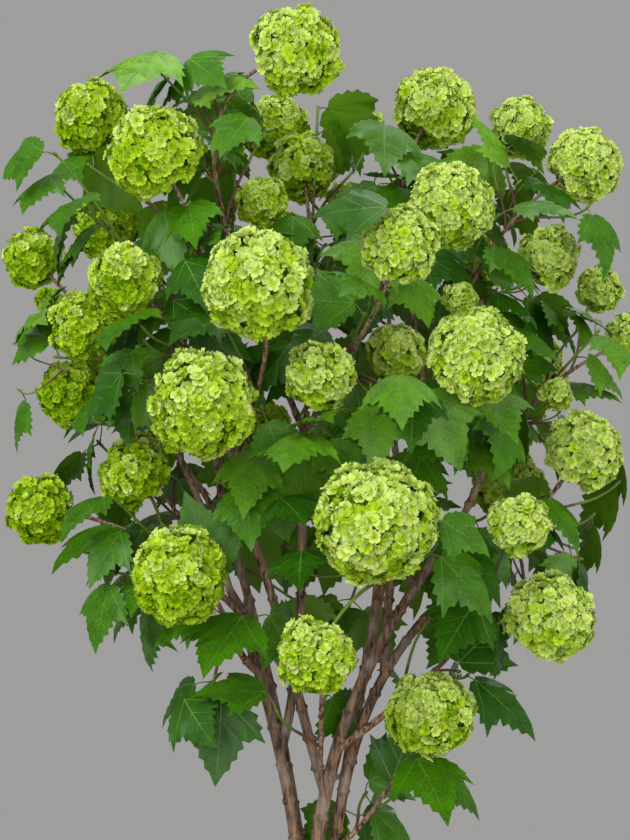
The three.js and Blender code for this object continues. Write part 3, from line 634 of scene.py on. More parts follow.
# ------------------------------------------------------------------ pieces made of many like shapes
class Batch:
    """Points and triangles gathered for one piece, with a material number for each triangle."""

    def __init__(self):
        self.points, self.triangles, self.slots = [], [], []
        self.count = 0

    def add(self, points, triangles, slots):
        """Adds copies of one shape: points are copies by points by 3, triangles are those of one copy."""
        copies, size, _ = points.shape
        starts = self.count + np.arange(copies)[:, None, None] * size
        self.points.append(points.reshape(-1, 3))
        self.triangles.append((triangles[None] + starts).reshape(-1, 3))
        self.slots.append(np.broadcast_to(slots, (copies, len(triangles))).reshape(-1))
        self.count += copies * size

    def piece(self, name, materials):
        mesh = bpy.data.meshes.new(name)
        points = np.concatenate(self.points) * MM
        triangles = np.concatenate(self.triangles)
        mesh.vertices.add(len(points))
        mesh.vertices.foreach_set("co", points.astype(np.float32).ravel())
        mesh.loops.add(triangles.size)
        mesh.loops.foreach_set("vertex_index", triangles.astype(np.int32).ravel())
        mesh.polygons.add(len(triangles))
        mesh.polygons.foreach_set("loop_start", np.arange(0, triangles.size, 3, dtype=np.int32))
        mesh.polygons.foreach_set("material_index", np.concatenate(self.slots).astype(np.int32))
        mesh.polygons.foreach_set("use_smooth", np.full(len(triangles), True))
        for material in materials:
            mesh.materials.append(material)
        mesh.update(calc_edges=True)
        mesh.validate()
        piece = bpy.data.objects.new(name, mesh)
        bpy.context.scene.collection.objects.link(piece)
        return piece


STEEP = 0.8  # a limb that rises by more than this is framed by the way to the back, and the others by up


def tube(limb, shares, radii, sides):
    """A closed tube round a limb, with a ring at each share of its length."""
    centres, ways = limb.point(shares), limb.way(shares)
    middle_way = limb.way((shares[0] + shares[-1]) / 2)
    level = vec([0, 1, 0]) if abs(middle_way[2]) > STEEP else UP
    aside = unit(np.cross(middle_way, level))
    right = aside - ways * (ways @ aside)[:, None]
    right /= np.linalg.norm(right, axis=1)[:, None]
    ahead = np.cross(right, ways)
    turns = np.linspace(0, 2 * math.pi, sides, endpoint=False)[None, :, None]
    rings = right[:, None] * np.cos(turns) + ahead[:, None] * np.sin(turns)
    points = centres[:, None] + rings * np.asarray(radii)[:, None, None]
    count = len(shares)
    low = np.arange(count - 1)[:, None] * sides
    here, beside = np.arange(sides), (np.arange(sides) + 1) % sides
    a, b, c, d = low + here, low + sides + here, low + sides + beside, low + beside
    faces = np.stack([np.stack([a, b, c], -1), np.stack([a, c, d], -1)], 2).reshape(-1, 3)
    foot, top = count * sides, count * sides + 1
    last = (count - 1) * sides
    caps = [(foot, k, (k + 1) % sides) for k in range(sides)]
    caps += [(top, last + (k + 1) % sides, last + k) for k in range(sides)]
    points = np.concatenate([points.reshape(-1, 3), centres[:1], centres[-1:]])
    return points, np.concatenate([faces, np.array(caps)])


# ------------------------------------------------------------------ the whole plant, grown once
FINE_SPRAY_LENGTH = [26, 62]
FINE_LEAF_SIZE = 0.8
FINE_PAIR_SPACING = 24
FINE_SHARE = {"top": 1.6, "left": 1.2, "right": 2.4, "front": 1.8, "foot": 0.0, "back": 1.2}
# No finer spray ends lower than this, so that the foot of the stems stays bare.
FINE_LOWEST = {"top": 300, "left": 350, "right": 265, "front": 300, "foot": 225, "back": 290}
# Leafy sprays listed one by one, where the crown is at its fullest: the bough, and where each spray ends.
LEAFY_TIPS = [
    ("crest", [[-122, 0, 660], [-90, -20, 660], [-66, -30, 636], [-84, -36, 584], [-62, 10, 606],
               [-50, 0, 640], [-76, 20, 610]]),
    ("upper_middle", [[0, 60, 640]]),
    ("upper_left", [[-186, -44, 600], [-152, -20, 584], [-142, 40, 600]]),
    ("left_middle", [[-190, -20, 590]]),
    ("right_crest", [[140, 40, 604], [132, 10, 548], [206, 30, 560]]),
    ("upper_right", [[44, 30, 640]]),
    ("right_side", [[160, 10, 470], [226, 20, 480], [230, 10, 440]]),
    ("right_middle", [[142, -50, 410]]),
    ("right_low", [[164, -30, 342], [200, 10, 352], [206, 0, 326], [214, -20, 300], [226, -10, 350]]),
    ("right_foot", [[80, -30, 250], [110, 10, 240], [112, 0, 206]]),
    ("front_middle", [[42, -140, 424], [40, -110, 476], [52, -156, 534], [-4, -60, 455]]),
    ("front_low", [[84, -70, 304], [20, -80, 290]]),
    ("front_left", [[-66, -120, 352]]),
    ("left_side", [[-150, 0, 425], [-204, 20, 470], [-206, 0, 420], [-236, 0, 460], [-210, -20, 560]]),
    ("left_low", [[-146, -30, 338]]),
    ("left_foot", [[-44, -50, 200], [-92, -60, 226], [-88, -40, 190]]),
    ("low_shoot", [[72, -30, 140], [36, 18, 114]]),
    ("inner_shoot", [[6, -70, 196], [14, 30, 220]]),
    ("back_low_left", [[-170, 60, 380], [-20, 60, 270], [4, 60, 284], [4, 100, 254]]),
    ("back_low_right", [[60, 60, 260], [26, 50, 258], [40, 60, 288], [34, 96, 262],
                        [20, 110, 236]]),
]
HAND_PLACED_BARE = 0.4  # of such a spray, from its fork
HAND_PLACED_SIZE = 0.92
TIP_SHIFTS = [0, -18, 18, -36, 36]  # how far back a listed spray tries, until it keeps a leaf
FRONT_HALF = 50  # a leaf nearer than this faces forward and out, and the others back and out
FACES_FROM = 150  # how far beyond the crown's axis the line is that the leaves of a half face away from
FACES_LIGHT = 1.15  # how far a blade's face turns away from that line, to 1 up
SWINGS = [0, 0.6, -0.6, 1.2, -1.2]  # a blade that has no room tries these turns about the upright
# The share of a head's radius that leaves hang clear of, by the kind of spray, and how deep before it.
FREE_HEAD = {"solid": 0.6, "drawn": 0.9, "hand_placed": 0.6}
FREE_DEPTH = {"front": 260.0, "back": 60.0, "from": 60}  # from where on heads count as back
# How far leaves may reach out of the crown's space: those that swing aside, and those of the low shoots.
ASIDE_SPARE = 0.1
FOOT_SPARE = 0.32
FRONT_VIEW = {"across": -2.25, "distance": 1700, "height": 397.5, "high": 630}
# The lengths of the stems that show between the leaves from the front, and how far they are clear aside.
OPEN_STEMS = {
    "stem_left": [0.2, 0.64], "stem_middle": [0.2, 0.85], "stem_right": [0.2, 0.8],
    "stem_centre": [0, 0.3], "stem_cross": [0, 0.3],
}
STEM_OPEN = 5
OPEN_POINTS = 40  # on each such length
BLADE_KEEPS_OFF = 0.6  # a limb
# How one blade differs from the next, in the order of its draws.
BLADE_RANGES = {"width": (0.9, 1.12), "bend": (0.6, 1.7), "fold": (-0.12, 0.26), "twist": (-0.3, 0.3)}
# The outline that the leaf has as a solid, as above: by it the rule keeps the same leaves.
SOLID_OUTLINE = [(0.0, 0.06, 0.02), (0.4, 0.48, 0.12), (0.55, 0.26, 0.03), (1.0, 0.0, 0.18)]
SOLID_MIDDLE = 0.32
SOLID_LEAF_SHARE = 0.9  # a leaf of the solids is drawn this much smaller
PLANT = {}


def shape_of(leaf, dice):
    """Gives a blade its width, bend, fold and twist."""
    for name, (low, high) in BLADE_RANGES.items():
        setattr(leaf, name, dice.between(low, high))
    dice.skip(1)


def blade_points(leaf, template):
    """The template's points in the leaf's own place."""
    x, y, z = template[:, 0], template[:, 1] * leaf.width, template[:, 2]
    lift = z + leaf.fold * np.abs(y) - leaf.bend * (LEAF_DROP["along"] * x * x) - LEAF_DROP["across"] * y * y
    turn = leaf.twist * x
    across = y * np.cos(turn) - lift * np.sin(turn)
    up = y * np.sin(turn) + lift * np.cos(turn)
    local = leaf.along * x[:, None] + leaf.across * across[:, None] + leaf.face * up[:, None]
    return leaf.petiole_end + local * leaf.length


def boxed_tree(points, faces):
    """The lowest and highest corner of a shape, and a tree of its faces."""
    return points.min(0), points.max(0), BVHTree.FromPolygons(points.tolist(), faces.tolist())


def clearance_tube(limb):
    """A rough tube as wide as a limb and the room round it."""
    shares = np.linspace(0, 1, 9)
    return tube(limb, shares, limb.radius(shares) + BLADE_KEEPS_OFF, 5)


def seen_from_front(points):
    """Where points lie across and up, seen from the front at the plant's middle."""
    nearness = 1 / (1 + points[:, 1:2] / FRONT_VIEW["distance"])
    return (points[:, [0, 2]] - [0, FRONT_VIEW["height"]]) * nearness


def solid_shape(leaf):
    """The points of a leaf's solid outline and the faces between them."""
    middle = leaf.at(SOLID_MIDDLE, 0, 0)
    rim = [leaf.at(*spot) for spot in SOLID_OUTLINE + mirrored(SOLID_OUTLINE[-2::-1])]
    rim = [spot + unit(spot - middle) * KEEP_OFF for spot in rim]
    faces = [(0, i + 1, (i + 1) % len(rim) + 1) for i in range(len(rim))]
    return np.array([middle, *rim]), np.array(faces)


class Clearings:
    """What the leaves have to keep clear of: limbs, flower heads, and leaves that are already placed."""

    def __init__(self, stems, masses):
        limbs = [*stems.values(), *(limb for mass in masses for limb in mass.limbs())]
        points, faces = gathered([clearance_tube(limb) for limb in limbs])
        self.limbs = BVHTree.FromPolygons(points.tolist(), faces.tolist())
        self.masses = masses
        balls = [ball for mass in masses for ball in mass.balls]
        self.middles = np.array([ball.middle for ball in balls])
        self.radii = np.array([ball.radius * (1 + HEAD_LUMP) + KEEP_OFF for ball in balls])
        self.outward_ways = np.array([outward(ball.middle) for ball in balls])
        in_front = self.middles[:, 1] < FREE_DEPTH["from"]
        self.view_depth = np.where(in_front, FREE_DEPTH["front"], FREE_DEPTH["back"])
        self.open_stems = np.concatenate([
            stems[name].point(np.linspace(*shares, OPEN_POINTS)) for name, shares in OPEN_STEMS.items()
        ])
        points, faces, is_vein = leaf_template()
        self.blade_sides = faces[~is_vein]
        self.blade = points[:self.blade_sides.max() + 1]
        self.placed = []

    def clear(self, points, faces, spare=0.0):
        """The tree of a blade if nothing meets it, and otherwise nothing."""
        if points[:, 2].min() < LOWEST_LEAF or not in_space(points, spare):
            return None
        distances = np.linalg.norm(points[:, None] - self.middles[None], axis=2)
        if (distances < self.radii).any():
            return None
        boxed = boxed_tree(points, faces)
        if boxed[2].overlap(self.limbs) or self.meets_placed(boxed):
            return None
        return boxed

    def meets_placed(self, boxed):
        """Whether a shape meets a leaf or a finer spray that is already placed."""
        low, high, tree = boxed
        for other_low, other_high, other in self.placed:
            if (low < other_high).all() and (other_low < high).all() and tree.overlap(other):
                return True
        return False

    def hides(self, points, free):
        """Whether a blade hangs before a head, from the front or from outside it, or before an open stem."""
        offset = points[:, None] - self.middles[None]
        for ways in (self.outward_ways, np.array([[0.0, -1.0, 0.0]])):
            ahead = (offset * ways[None]).sum(2)
            beside = np.linalg.norm(offset - ahead[..., None] * ways[None], axis=2)
            if ((ahead > 0) & (ahead < self.view_depth) & (beside < self.radii * free)).any():
                return True
        apart = seen_from_front(points)[:, None] - seen_from_front(self.open_stems)
        nearer = points[:, 1, None] < self.open_stems[:, 1]
        return bool((nearer & (np.linalg.norm(apart, axis=2) < STEM_OPEN)).any())

    def place(self, leaf, free, spare):
        """Swings a leaf about the upright until it has room, and says whether it found some."""
        shape_of(leaf, leaf.mass.fine_dice)
        hanging = leaf.along
        for swing in SWINGS:
            leaf.along = turned(hanging, UP, swing)
            leaf.face_light()
            points = blade_points(leaf, self.blade)
            found = self.clear(points, self.blade_sides, spare)
            if found and not self.hides(points, free):
                self.placed.append(found)
                return True
        return False

    def keep_solid_leaves(self, candidates):
        """The leaves that the solids have, each a little smaller; those before a head swing aside."""
        for leaf in candidates:
            found = self.clear(*solid_shape(leaf))
            if found:
                self.placed.append(found)
                leaf.mass.leaves.append(leaf)
        self.placed.clear()
        in_the_way = []
        for leaf in [leaf for mass in self.masses for leaf in mass.leaves]:
            leaf.length *= SOLID_LEAF_SHARE
            leaf.face_light()
            shape_of(leaf, leaf.mass.fine_dice)
            points = blade_points(leaf, self.blade)
            if self.hides(points, FREE_HEAD["solid"]):
                in_the_way.append(leaf)
            else:
                self.placed.append(boxed_tree(points, self.blade_sides))
        for leaf in in_the_way:
            if not self.place(leaf, FREE_HEAD["solid"], ASIDE_SPARE):
                leaf.mass.leaves.remove(leaf)

    def keep_finer(self, finer):
        """The first try of each finer spray that has room and keeps a leaf."""
        for free, spare, tries in finer:
            for spray, leaves in tries:
                wood = boxed_tree(*clearance_tube(spray))
                if self.meets_placed(wood):
                    continue
                self.placed.append(wood)
                kept = [leaf for leaf in leaves if self.place(leaf, free, spare)]
                if kept:
                    kept[0].mass.leaves += kept
                    kept[0].mass.fine_sprays.append(spray)
                    break
                self.placed.pop()


def finer_pairs(mass, spray, low, size):
    tip = spray.length - PAIR_AT_TIP
    return pairs_of(mass, spray, low, tip, mass.fine_dice, size, FINE_PAIR_SPACING)


def hand_placed_sprays(masses):
    """The listed sprays: how clear of heads, how far out of the space, and the tries of each."""
    by_name = {mass.name: mass for mass in masses}
    finer = []
    for name, tips in LEAFY_TIPS:
        mass = by_name[name]
        spare = FOOT_SPARE if mass.region == "foot" else 0.0
        for tip in tips:
            tries = []
            for shift in TIP_SHIFTS:
                spray = mass.spray_to(vec(tip) + [0, shift, 0])
                bare = spray.length * HAND_PLACED_BARE
                tries.append((spray, finer_pairs(mass, spray, bare, HAND_PLACED_SIZE)))
            finer.append((FREE_HEAD["hand_placed"], spare, tries))
    return finer


def drawn_sprays(mass, others, count):
    """Finer sprays of a mass where the draw puts them, each with one try."""
    finer = []
    for _ in range(count):
        spray = grow_spray(mass, mass.fine_dice, mass.limbs(), others, FINE_SPRAY_LENGTH)
        if spray and spray.point(1.0)[2] > FINE_LOWEST[mass.region]:
            leaves = finer_pairs(mass, spray, PAIR_ABOVE_FORK, FINE_LEAF_SIZE)
            finer.append((FREE_HEAD["drawn"], 0.0, [(spray, leaves)]))
    return finer


def grow_plant(finer_sprays):
    """Stems, masses and leaves, placed by the rule that the solids follow and then carried on finer."""
    if PLANT:
        return PLANT
    stems = grow_stems()
    masses = [Mass(record, i, stems) for i, record in enumerate(BOUGHS)]
    taken = [(ball.middle, ball.radius) for mass in masses for ball in mass.balls]
    masses += [Mass(record, len(BOUGHS) + i, stems) for i, record in enumerate(back_records(taken))]
    fixed = [piece for stem in stems.values() for piece in stem.lengths(0, 1, LENGTHS["stem"])]
    for mass in masses:
        fixed += mass.leader.lengths(0, mass.bare, LENGTHS["bough"]) + mass.heads()

    def others_of(mass):
        return as_pieces(fixed + [piece for other in masses if other is not mass for piece in other.wood])

    for mass in masses:
        others = others_of(mass)
        for _ in range(SPRAYS_TRIED):
            spray = grow_spray(mass, mass.dice, [mass.leader, *mass.twigs], others)
            if spray:
                mass.sprays.append(spray)
                mass.wood += spray.lengths(0, 1, LENGTHS["twig"])
    for mass in masses:
        for ball in mass.balls:
            mass.dice.skip(HEAD_CORNERS["small" if ball.radius < SMALL_HEAD else "large"])
    candidates = [leaf for mass in masses for leaf in candidates_of(mass)]
    candidates.sort(key=lambda leaf: -np.linalg.norm(leaf.petiole_end - SPACE_MIDDLE))

    finer = hand_placed_sprays(masses)
    for mass in masses:
        finer += drawn_sprays(mass, others_of(mass), int(finer_sprays * FINE_SHARE[mass.region]))
    finer.sort(key=lambda each: (each[0], -np.linalg.norm(each[2][0][0].point(1.0) - SPACE_MIDDLE)))

    clearings = Clearings(stems, masses)
    clearings.keep_solid_leaves(candidates)
    clearings.keep_finer(finer)
    for mass in masses:
        in_leaf = {leaf.limb for leaf in mass.leaves}
        mass.leafy = [spray for spray in mass.sprays if spray in in_leaf] + mass.fine_sprays
    PLANT.update(stems=stems, masses=masses)
    return PLANT


# ------------------------------------------------------------------ flower heads
FLOWER_SIZE = (4.4, 0.069)  # how wide a small flower is: a fixed part, and a share of its head's diameter
FLOWER_COVER = 2.0  # how often the flowers of a head would cover it
FLOWER_TILT = 0.2
FLOWER_SCATTER = 0.35
SIZE_RANGE = (0.92, 1.26)
SEAT_RANGE = (-0.035, 0.025)
UNEVEN = 0.14  # how much a head is out of round, as a share of its radius
UNEVEN_SCALE = 1.6
UNEVEN_LEVEL = 0.12
CLUSTER_DEPTH = 0.17  # how far the surface sinks between the clusters of a head, as a share of its radius
CLUSTER_WIDTH = 0.40  # of one cluster, in radians
CLUSTER_FLOWERS = 15
FEWEST_CLUSTERS = 9
CLUSTER_SCATTER = 0.10
CLUSTER_ROUNDING = 1.6
# The dark inner ball is painted shade: it stands for the shadow deep between the flowers.
CORE_SHARE = 0.84  # the dark inner ball
CORE_CLEFTS = 0.6  # how deep its clefts are beside those between the flowers
DIMPLE = 0.6  # how far a head is drawn in where its stalk enters, as a share of its radius
DIMPLE_COSINE = 0.78
FLOWER_SEAT = 0.93  # where the flowers sit, as a share of the head's radius
OPEN_FOOT = 0.94  # no flower sits where the stalk enters, past this cosine
# A head that is small, not low, to the right and near the front is fresher, which makes it paler: by one
# for so many millimetres of each.
FRESH = 0.62
FRESH_RANGE = (0.1, 0.85)
FRESHER_BY = {"diameter": 500, "across": 700, "height": 1500, "depth": 1800}
COMMON_DIAMETER = 55
LOW_HEAD = 450
# Painted light and shade: a flower on top of a cluster or facing up gets a paler tint, one in a cleft a
# greener one; the spread is a random difference.
PAINTED_LIGHT_AND_SPREAD = {"cluster": 0.35, "up": 0.22, "spread": 0.18}
TINT_LEVELS = [0.62, 0.28]  # above the first a flower is pale, above the second lime, and else green
# Each petal material, its colour and how much it varies. A flower's throat has the one after its own.
# The head's core colour is painted shade that shows between the flowers.
PETALS_IN_ORDER = [
    ("petal_pale", "petal_pale", 0.10), ("petal_lime", "petal_lime", 0.14),
    ("petal_green", "petal_green", 0.16), ("petal_throat", "throat", 0.2), ("head_core", "cleft_shade", 0.3),
]
CORE_SLOT = len(PETALS_IN_ORDER) - 1
HEAD_SEED = [7, 13, 29]  # a head's seed comes from where it is
NEARLY_UP = 0.9


def each_unit(vectors):
    return vectors / np.linalg.norm(vectors, axis=1)[:, None]


def spread_over_ball(count):
    """Directions spread evenly over a ball by the golden angle."""
    i = np.arange(count)
    z = 1 - 2 * (i + 0.5) / count
    waist = np.sqrt(np.maximum(1 - z * z, 0))
    turn = i * GOLDEN * 2 * math.pi
    return np.stack([waist * np.cos(turn), waist * np.sin(turn), z], axis=1)


def framed(normals, random):
    """Two level directions for each normal, turned at random about it."""
    helper = np.where(np.abs(normals[:, 2:3]) > NEARLY_UP, [[1.0, 0, 0]], [[0, 0, 1.0]])
    first = each_unit(np.cross(normals, helper))
    second = np.cross(normals, first)
    turn = random.uniform(0, 2 * math.pi, len(normals))[:, None]
    return first * np.cos(turn) + second * np.sin(turn), second * np.cos(turn) - first * np.sin(turn)


def cluster_height(directions, clusters):
    """From 0 in the clefts between the clusters of a head to 1 on top of them."""
    nearness = (directions @ clusters.T).max(axis=1)
    angle = np.arccos(np.clip(nearness, -1, 1))
    return np.clip(1 - (angle / CLUSTER_WIDTH) ** 2, 0, 1)


def head_shape(directions, ball, seed):
    """How far each side of a head swells or falls short of a round ball, with the dimple at its stalk."""
    dimple = np.clip((directions @ -ball.way - DIMPLE_COSINE) / (1 - DIMPLE_COSINE), 0, 1)
    shift = Vector((seed % 97, seed % 89, seed % 83))
    lumps = np.array([noise.noise(Vector(way) * UNEVEN_SCALE + shift) for way in directions])
    return (1 - DIMPLE * dimple) * (1 - UNEVEN * (UNEVEN_LEVEL - lumps))


def freshness_of(ball):
    x, y, z = ball.middle
    fresh = FRESH - (2 * ball.radius - COMMON_DIAMETER) / FRESHER_BY["diameter"] + x / FRESHER_BY["across"]
    fresh += min(z - LOW_HEAD, 0) / FRESHER_BY["height"] - y / FRESHER_BY["depth"]
    return float(np.clip(fresh, *FRESH_RANGE))


def head_flowers(batch, ball, templates, core, seed):
    """The flowers of one head, and the dark ball of painted shade inside it that shows between them."""
    shapes, faces, throat = templates
    random = np.random.default_rng(seed)
    wide = FLOWER_SIZE[0] + FLOWER_SIZE[1] * 2 * ball.radius
    count = int(FLOWER_COVER * 4 * ball.radius**2 / (wide / 2) ** 2)
    clusters = spread_over_ball(max(FEWEST_CLUSTERS, int(count / CLUSTER_FLOWERS)))
    clusters = each_unit(clusters + random.normal(0, CLUSTER_SCATTER, clusters.shape))
    normals = spread_over_ball(count)
    scatter = FLOWER_SCATTER * wide / (2 * ball.radius)
    normals = each_unit(normals + random.normal(0, scatter, normals.shape))
    normals = normals[normals @ -ball.way < OPEN_FOOT]
    count = len(normals)
    height = cluster_height(normals, clusters)
    seats = ball.radius * (FLOWER_SEAT - CLUSTER_DEPTH * (1 - height) + random.uniform(*SEAT_RANGE, count))
    seats *= head_shape(normals, ball, seed)
    looks = normals + random.normal(0, FLOWER_TILT, normals.shape)
    # The flowers on a cluster's side look away from its middle, which rounds it.
    nearest = clusters[(normals @ clusters.T).argmax(axis=1)]
    looks = each_unit(looks + (normals - nearest) * CLUSTER_ROUNDING)
    frame_ways = [*framed(looks, random), looks]
    sizes_drawn = wide / 2 * random.uniform(*SIZE_RANGE, count)
    shape = shapes[random.integers(0, len(shapes), count)] * sizes_drawn[:, None, None]
    x, y, z = (shape[..., i:i + 1] * frame_ways[i][:, None] for i in range(3))
    points = x + y + z + (ball.middle + normals * seats[:, None])[:, None]

    # A flower's tint follows its head's freshness and a random spread, with painted light by how far it faces
    # up and painted shade by how deep it sits in a cleft.
    fresh_and_painted_light = freshness_of(ball) + PAINTED_LIGHT_AND_SPREAD["cluster"] * (height - 0.5)
    fresh_and_painted_light += PAINTED_LIGHT_AND_SPREAD["up"] * normals[:, 2] + random.normal(0, PAINTED_LIGHT_AND_SPREAD["spread"], count)
    tint = sum((fresh_and_painted_light <= level).astype(int) for level in TINT_LEVELS)
    batch.add(points, faces, tint[:, None] + throat[None])

    # The core ball is painted shade: its dark colour stands for the shadow deep between the flowers.
    core_points, core_faces = core
    swell = CORE_SHARE - CLUSTER_DEPTH * CORE_CLEFTS * (1 - cluster_height(core_points, clusters))
    swell *= head_shape(core_points, ball, seed)
    batch.add((ball.middle + core_points * (swell * ball.radius)[:, None])[None], core_faces, CORE_SLOT)


def ball_shape(subdivisions):
    """The points and triangles of a round ball, from the primitive."""
    bpy.ops.mesh.primitive_ico_sphere_add(subdivisions=subdivisions, radius=1)
    ball = bpy.context.object
    mesh = ball.data
    points = np.array([vertex.co[:] for vertex in mesh.vertices])
    faces = np.array([polygon.vertices[:] for polygon in mesh.polygons])
    bpy.data.objects.remove(ball)
    bpy.data.meshes.remove(mesh)
    return points, faces


# ------------------------------------------------------------------ wood
# How fine a limb's mesh is along it and round it, how far apart its nodes are, and how strong its relief is.
LIMB_MESH = {
    "stem": {"rings": 150, "sides": 5, "spacing": 27, "relief": 1.0, "seed": 40},
    "bough": {"rings": 80, "sides": 3, "spacing": 22, "relief": 0.7, "seed": 70},
}
SLIM = {"low_shoot": 0.68, "inner_shoot": 0.75}  # of the bough's radius at its fork
NODE_WIDTH = 2.0
NODE_SWELL = 0.28  # as a share of the limb's radius
NODE_REACH = 3  # how many node widths away a node still swells the limb
FIRST_NODE = (0.4, 0.9)  # of the spacing
NEXT_NODE = (0.7, 1.3)
# A node's ring and the groove above it: how steep each is, and where the groove is and how deep.
RING = {"steep": 1.6, "groove": 0.5, "groove_at": 1.2, "groove_steep": 3}
BUD = {"swell": 1.6, "at": 0.6, "narrow": 6}  # its height to the node's, and how far above the node it is
CAP_MIDDLE = 0.2  # the middle of an end cap is nearer to the axis than this, and stays where it is
LAST_NODE = 4  # before the limb's end
BARK_GRAIN = 4.0  # the size of the bark's lumps, in millimetres
BARK_STRETCH = 4.0  # how much longer they are along the limb
BARK_LUMPS = [(1, 0.06), (2.7, 0.025)]  # how much finer each layer of lumps is, and how high
LINE_POINTS = 301  # along a limb, to find which is nearest


def bark_relief(limb, points, relief, spacing, seed):
    """Moves a limb's surface in and out: ridges along it, rings at its nodes, and a pair of bud scars."""
    dice = Dice(seed)
    shares = np.linspace(0, 1, LINE_POINTS)
    line, ways = limb.point(shares), limb.way(shares)
    nodes, at = [], spacing * dice.between(*FIRST_NODE)
    while at < limb.length - LAST_NODE:
        nodes.append((at, dice.between(0, math.pi)))
        at += spacing * dice.between(*NEXT_NODE)
    moved = points.copy()
    for i, point in enumerate(points):
        k = int(np.argmin(((line - point) ** 2).sum(1)))
        along = shares[k] * limb.length
        away = point - line[k]
        radius = np.linalg.norm(away)
        if radius < CAP_MIDDLE:
            continue
        away /= radius
        level = unit(np.cross(ways[k], [0, 1, 0]))
        angle = math.atan2(float(away @ np.cross(level, ways[k])), float(away @ level))
        swell = 0.0
        for node, turn in nodes:
            near = (along - node) / NODE_WIDTH
            if abs(near) > NODE_REACH:
                continue
            ring = math.exp(-near * near * RING["steep"])
            groove = RING["groove"] * math.exp(-((near - RING["groove_at"]) ** 2) * RING["groove_steep"])
            sides = max(0.0, math.cos(2 * (angle - turn))) ** BUD["narrow"]
            bud = math.exp(-((near - BUD["at"]) ** 2)) * sides
            swell += NODE_SWELL * (ring - groove + BUD["swell"] * bud)
        wave = Vector((away[0] * radius, away[1] * radius, along / BARK_STRETCH + seed)) / BARK_GRAIN
        lumps = sum(noise.noise(wave * finer) * high for finer, high in BARK_LUMPS)
        moved[i] = line[k] + away * radius * (1 + swell + relief * lumps)
    return moved


def limb_piece(name, limb, kind, low_radius, seed):
    """A limb as a bevelled curve made a mesh, with the relief of its bark."""
    made = LIMB_MESH[kind]
    bpy.ops.object.select_all(action="DESELECT")
    bpy.ops.curve.primitive_bezier_curve_add(location=(0, 0, 0))
    piece = bpy.context.object
    piece.name = name
    curve = piece.data
    curve.dimensions = "3D"
    curve.resolution_u = made["rings"]
    curve.bevel_resolution = made["sides"]
    curve.bevel_depth = MM
    curve.use_fill_caps = True
    start, end = curve.splines[0].bezier_points
    a, b, c, d = [Vector(point * MM) for point in limb.controls]
    for knot in (start, end):
        knot.handle_left_type = "FREE"
        knot.handle_right_type = "FREE"
    start.co, start.handle_right, start.handle_left = a, b, a * 2 - b
    end.co, end.handle_left, end.handle_right = d, c, d * 2 - c
    start.radius, end.radius = low_radius, limb.radii[1]
    bpy.ops.object.convert(target="MESH")
    piece = bpy.context.object
    flat = np.zeros(len(piece.data.vertices) * 3)
    piece.data.vertices.foreach_get("co", flat)
    relief = sizes().bark_relief * made["relief"]
    points = bark_relief(limb, flat.reshape(-1, 3) / MM, relief, made["spacing"], made["seed"] + seed)
    piece.data.vertices.foreach_set("co", (points * MM).ravel())
    piece.data.update()
    bpy.ops.object.shade_smooth()
    return piece


def join_pieces(pieces, name):
    bpy.ops.object.select_all(action="DESELECT")
    for piece in pieces:
        piece.select_set(True)
    bpy.context.view_layer.objects.active = pieces[0]
    if len(pieces) > 1:
        bpy.ops.object.join()
    pieces[0].name = name
    pieces[0].data.name = name
    return pieces[0]


def finish_piece(piece, nodes, material=None):
    """Gives a piece its finish and its body, and hides the solids that it stands for."""
    if material:
        piece.data.materials.clear()
        piece.data.materials.append(material)
    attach(piece, "root")
    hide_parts(*nodes)


# ------------------------------------------------------------------ shared effects
def plug(tree, socket, value):
    """Feeds an input from another socket, or gives it a plain value or colour."""
    if isinstance(value, bpy.types.NodeSocket):
        tree.links.new(value, socket)
    elif socket.type == "RGBA":
        socket.default_value = (*value[:3], 1)
    else:
        socket.default_value = value


def effect(tree, kind, output, inputs=(), **settings):
    """One output of a new node, whose inputs are sockets or plain values by name or number."""
    node = tree.nodes.new(f"ShaderNode{kind}")
    for name, value in settings.items():
        setattr(node, name, value)
    for key, value in dict(inputs).items():
        plug(tree, node.inputs[key], value)
    return node.outputs[output]


def object_place(tree):
    return effect(tree, "TexCoord", "Object")


def ranged(tree, value, low, high, top=1.0):
    """A value spread from 0 to the top between two of its own levels."""
    levels = {"Value": value, "From Min": low, "From Max": high, "To Max": top}
    return effect(tree, "MapRange", "Result", levels)


def scaled(tree, value, factor):
    return effect(tree, "Math", "Value", {0: value, 1: factor}, operation="MULTIPLY")


def mix_colours(tree, mask, low, high):
    """A colour between two others by a mask; each is a socket or a colour."""
    node = tree.nodes.new("ShaderNodeMix")
    node.data_type = "RGBA"
    plug(tree, node.inputs[0], mask)
    for socket, colour in zip([socket for socket in node.inputs if socket.type == "RGBA"], (low, high)):
        plug(tree, socket, colour)
    return next(socket for socket in node.outputs if socket.type == "RGBA")


def shaded(colour, factor):
    return tuple(min(1.0, channel * factor) for channel in colour[:3])


def shared_group(name, inputs, outputs_of):
    """A node group that the materials share, made once: its outputs, by name, from its inputs."""
    if name in bpy.data.node_groups:
        return bpy.data.node_groups[name]
    group = bpy.data.node_groups.new(name, "ShaderNodeTree")
    for label, value in inputs.items():
        group.interface.new_socket(label, in_out="INPUT", socket_type="NodeSocketFloat").default_value = value
    made = outputs_of(group, group.nodes.new("NodeGroupInput").outputs)
    for label, socket in made.items():
        kind = "NodeSocketVector" if socket.type == "VECTOR" else "NodeSocketFloat"
        group.interface.new_socket(label, in_out="OUTPUT", socket_type=kind)
    results = group.nodes.new("NodeGroupOutput").inputs
    for label, socket in made.items():
        group.links.new(socket, results[label])
    return group


def use_group(tree, group, values):
    node = tree.nodes.new("ShaderNodeGroup")
    node.node_tree = group
    for label, value in values.items():
        plug(tree, node.inputs[label], value)
    return node.outputs


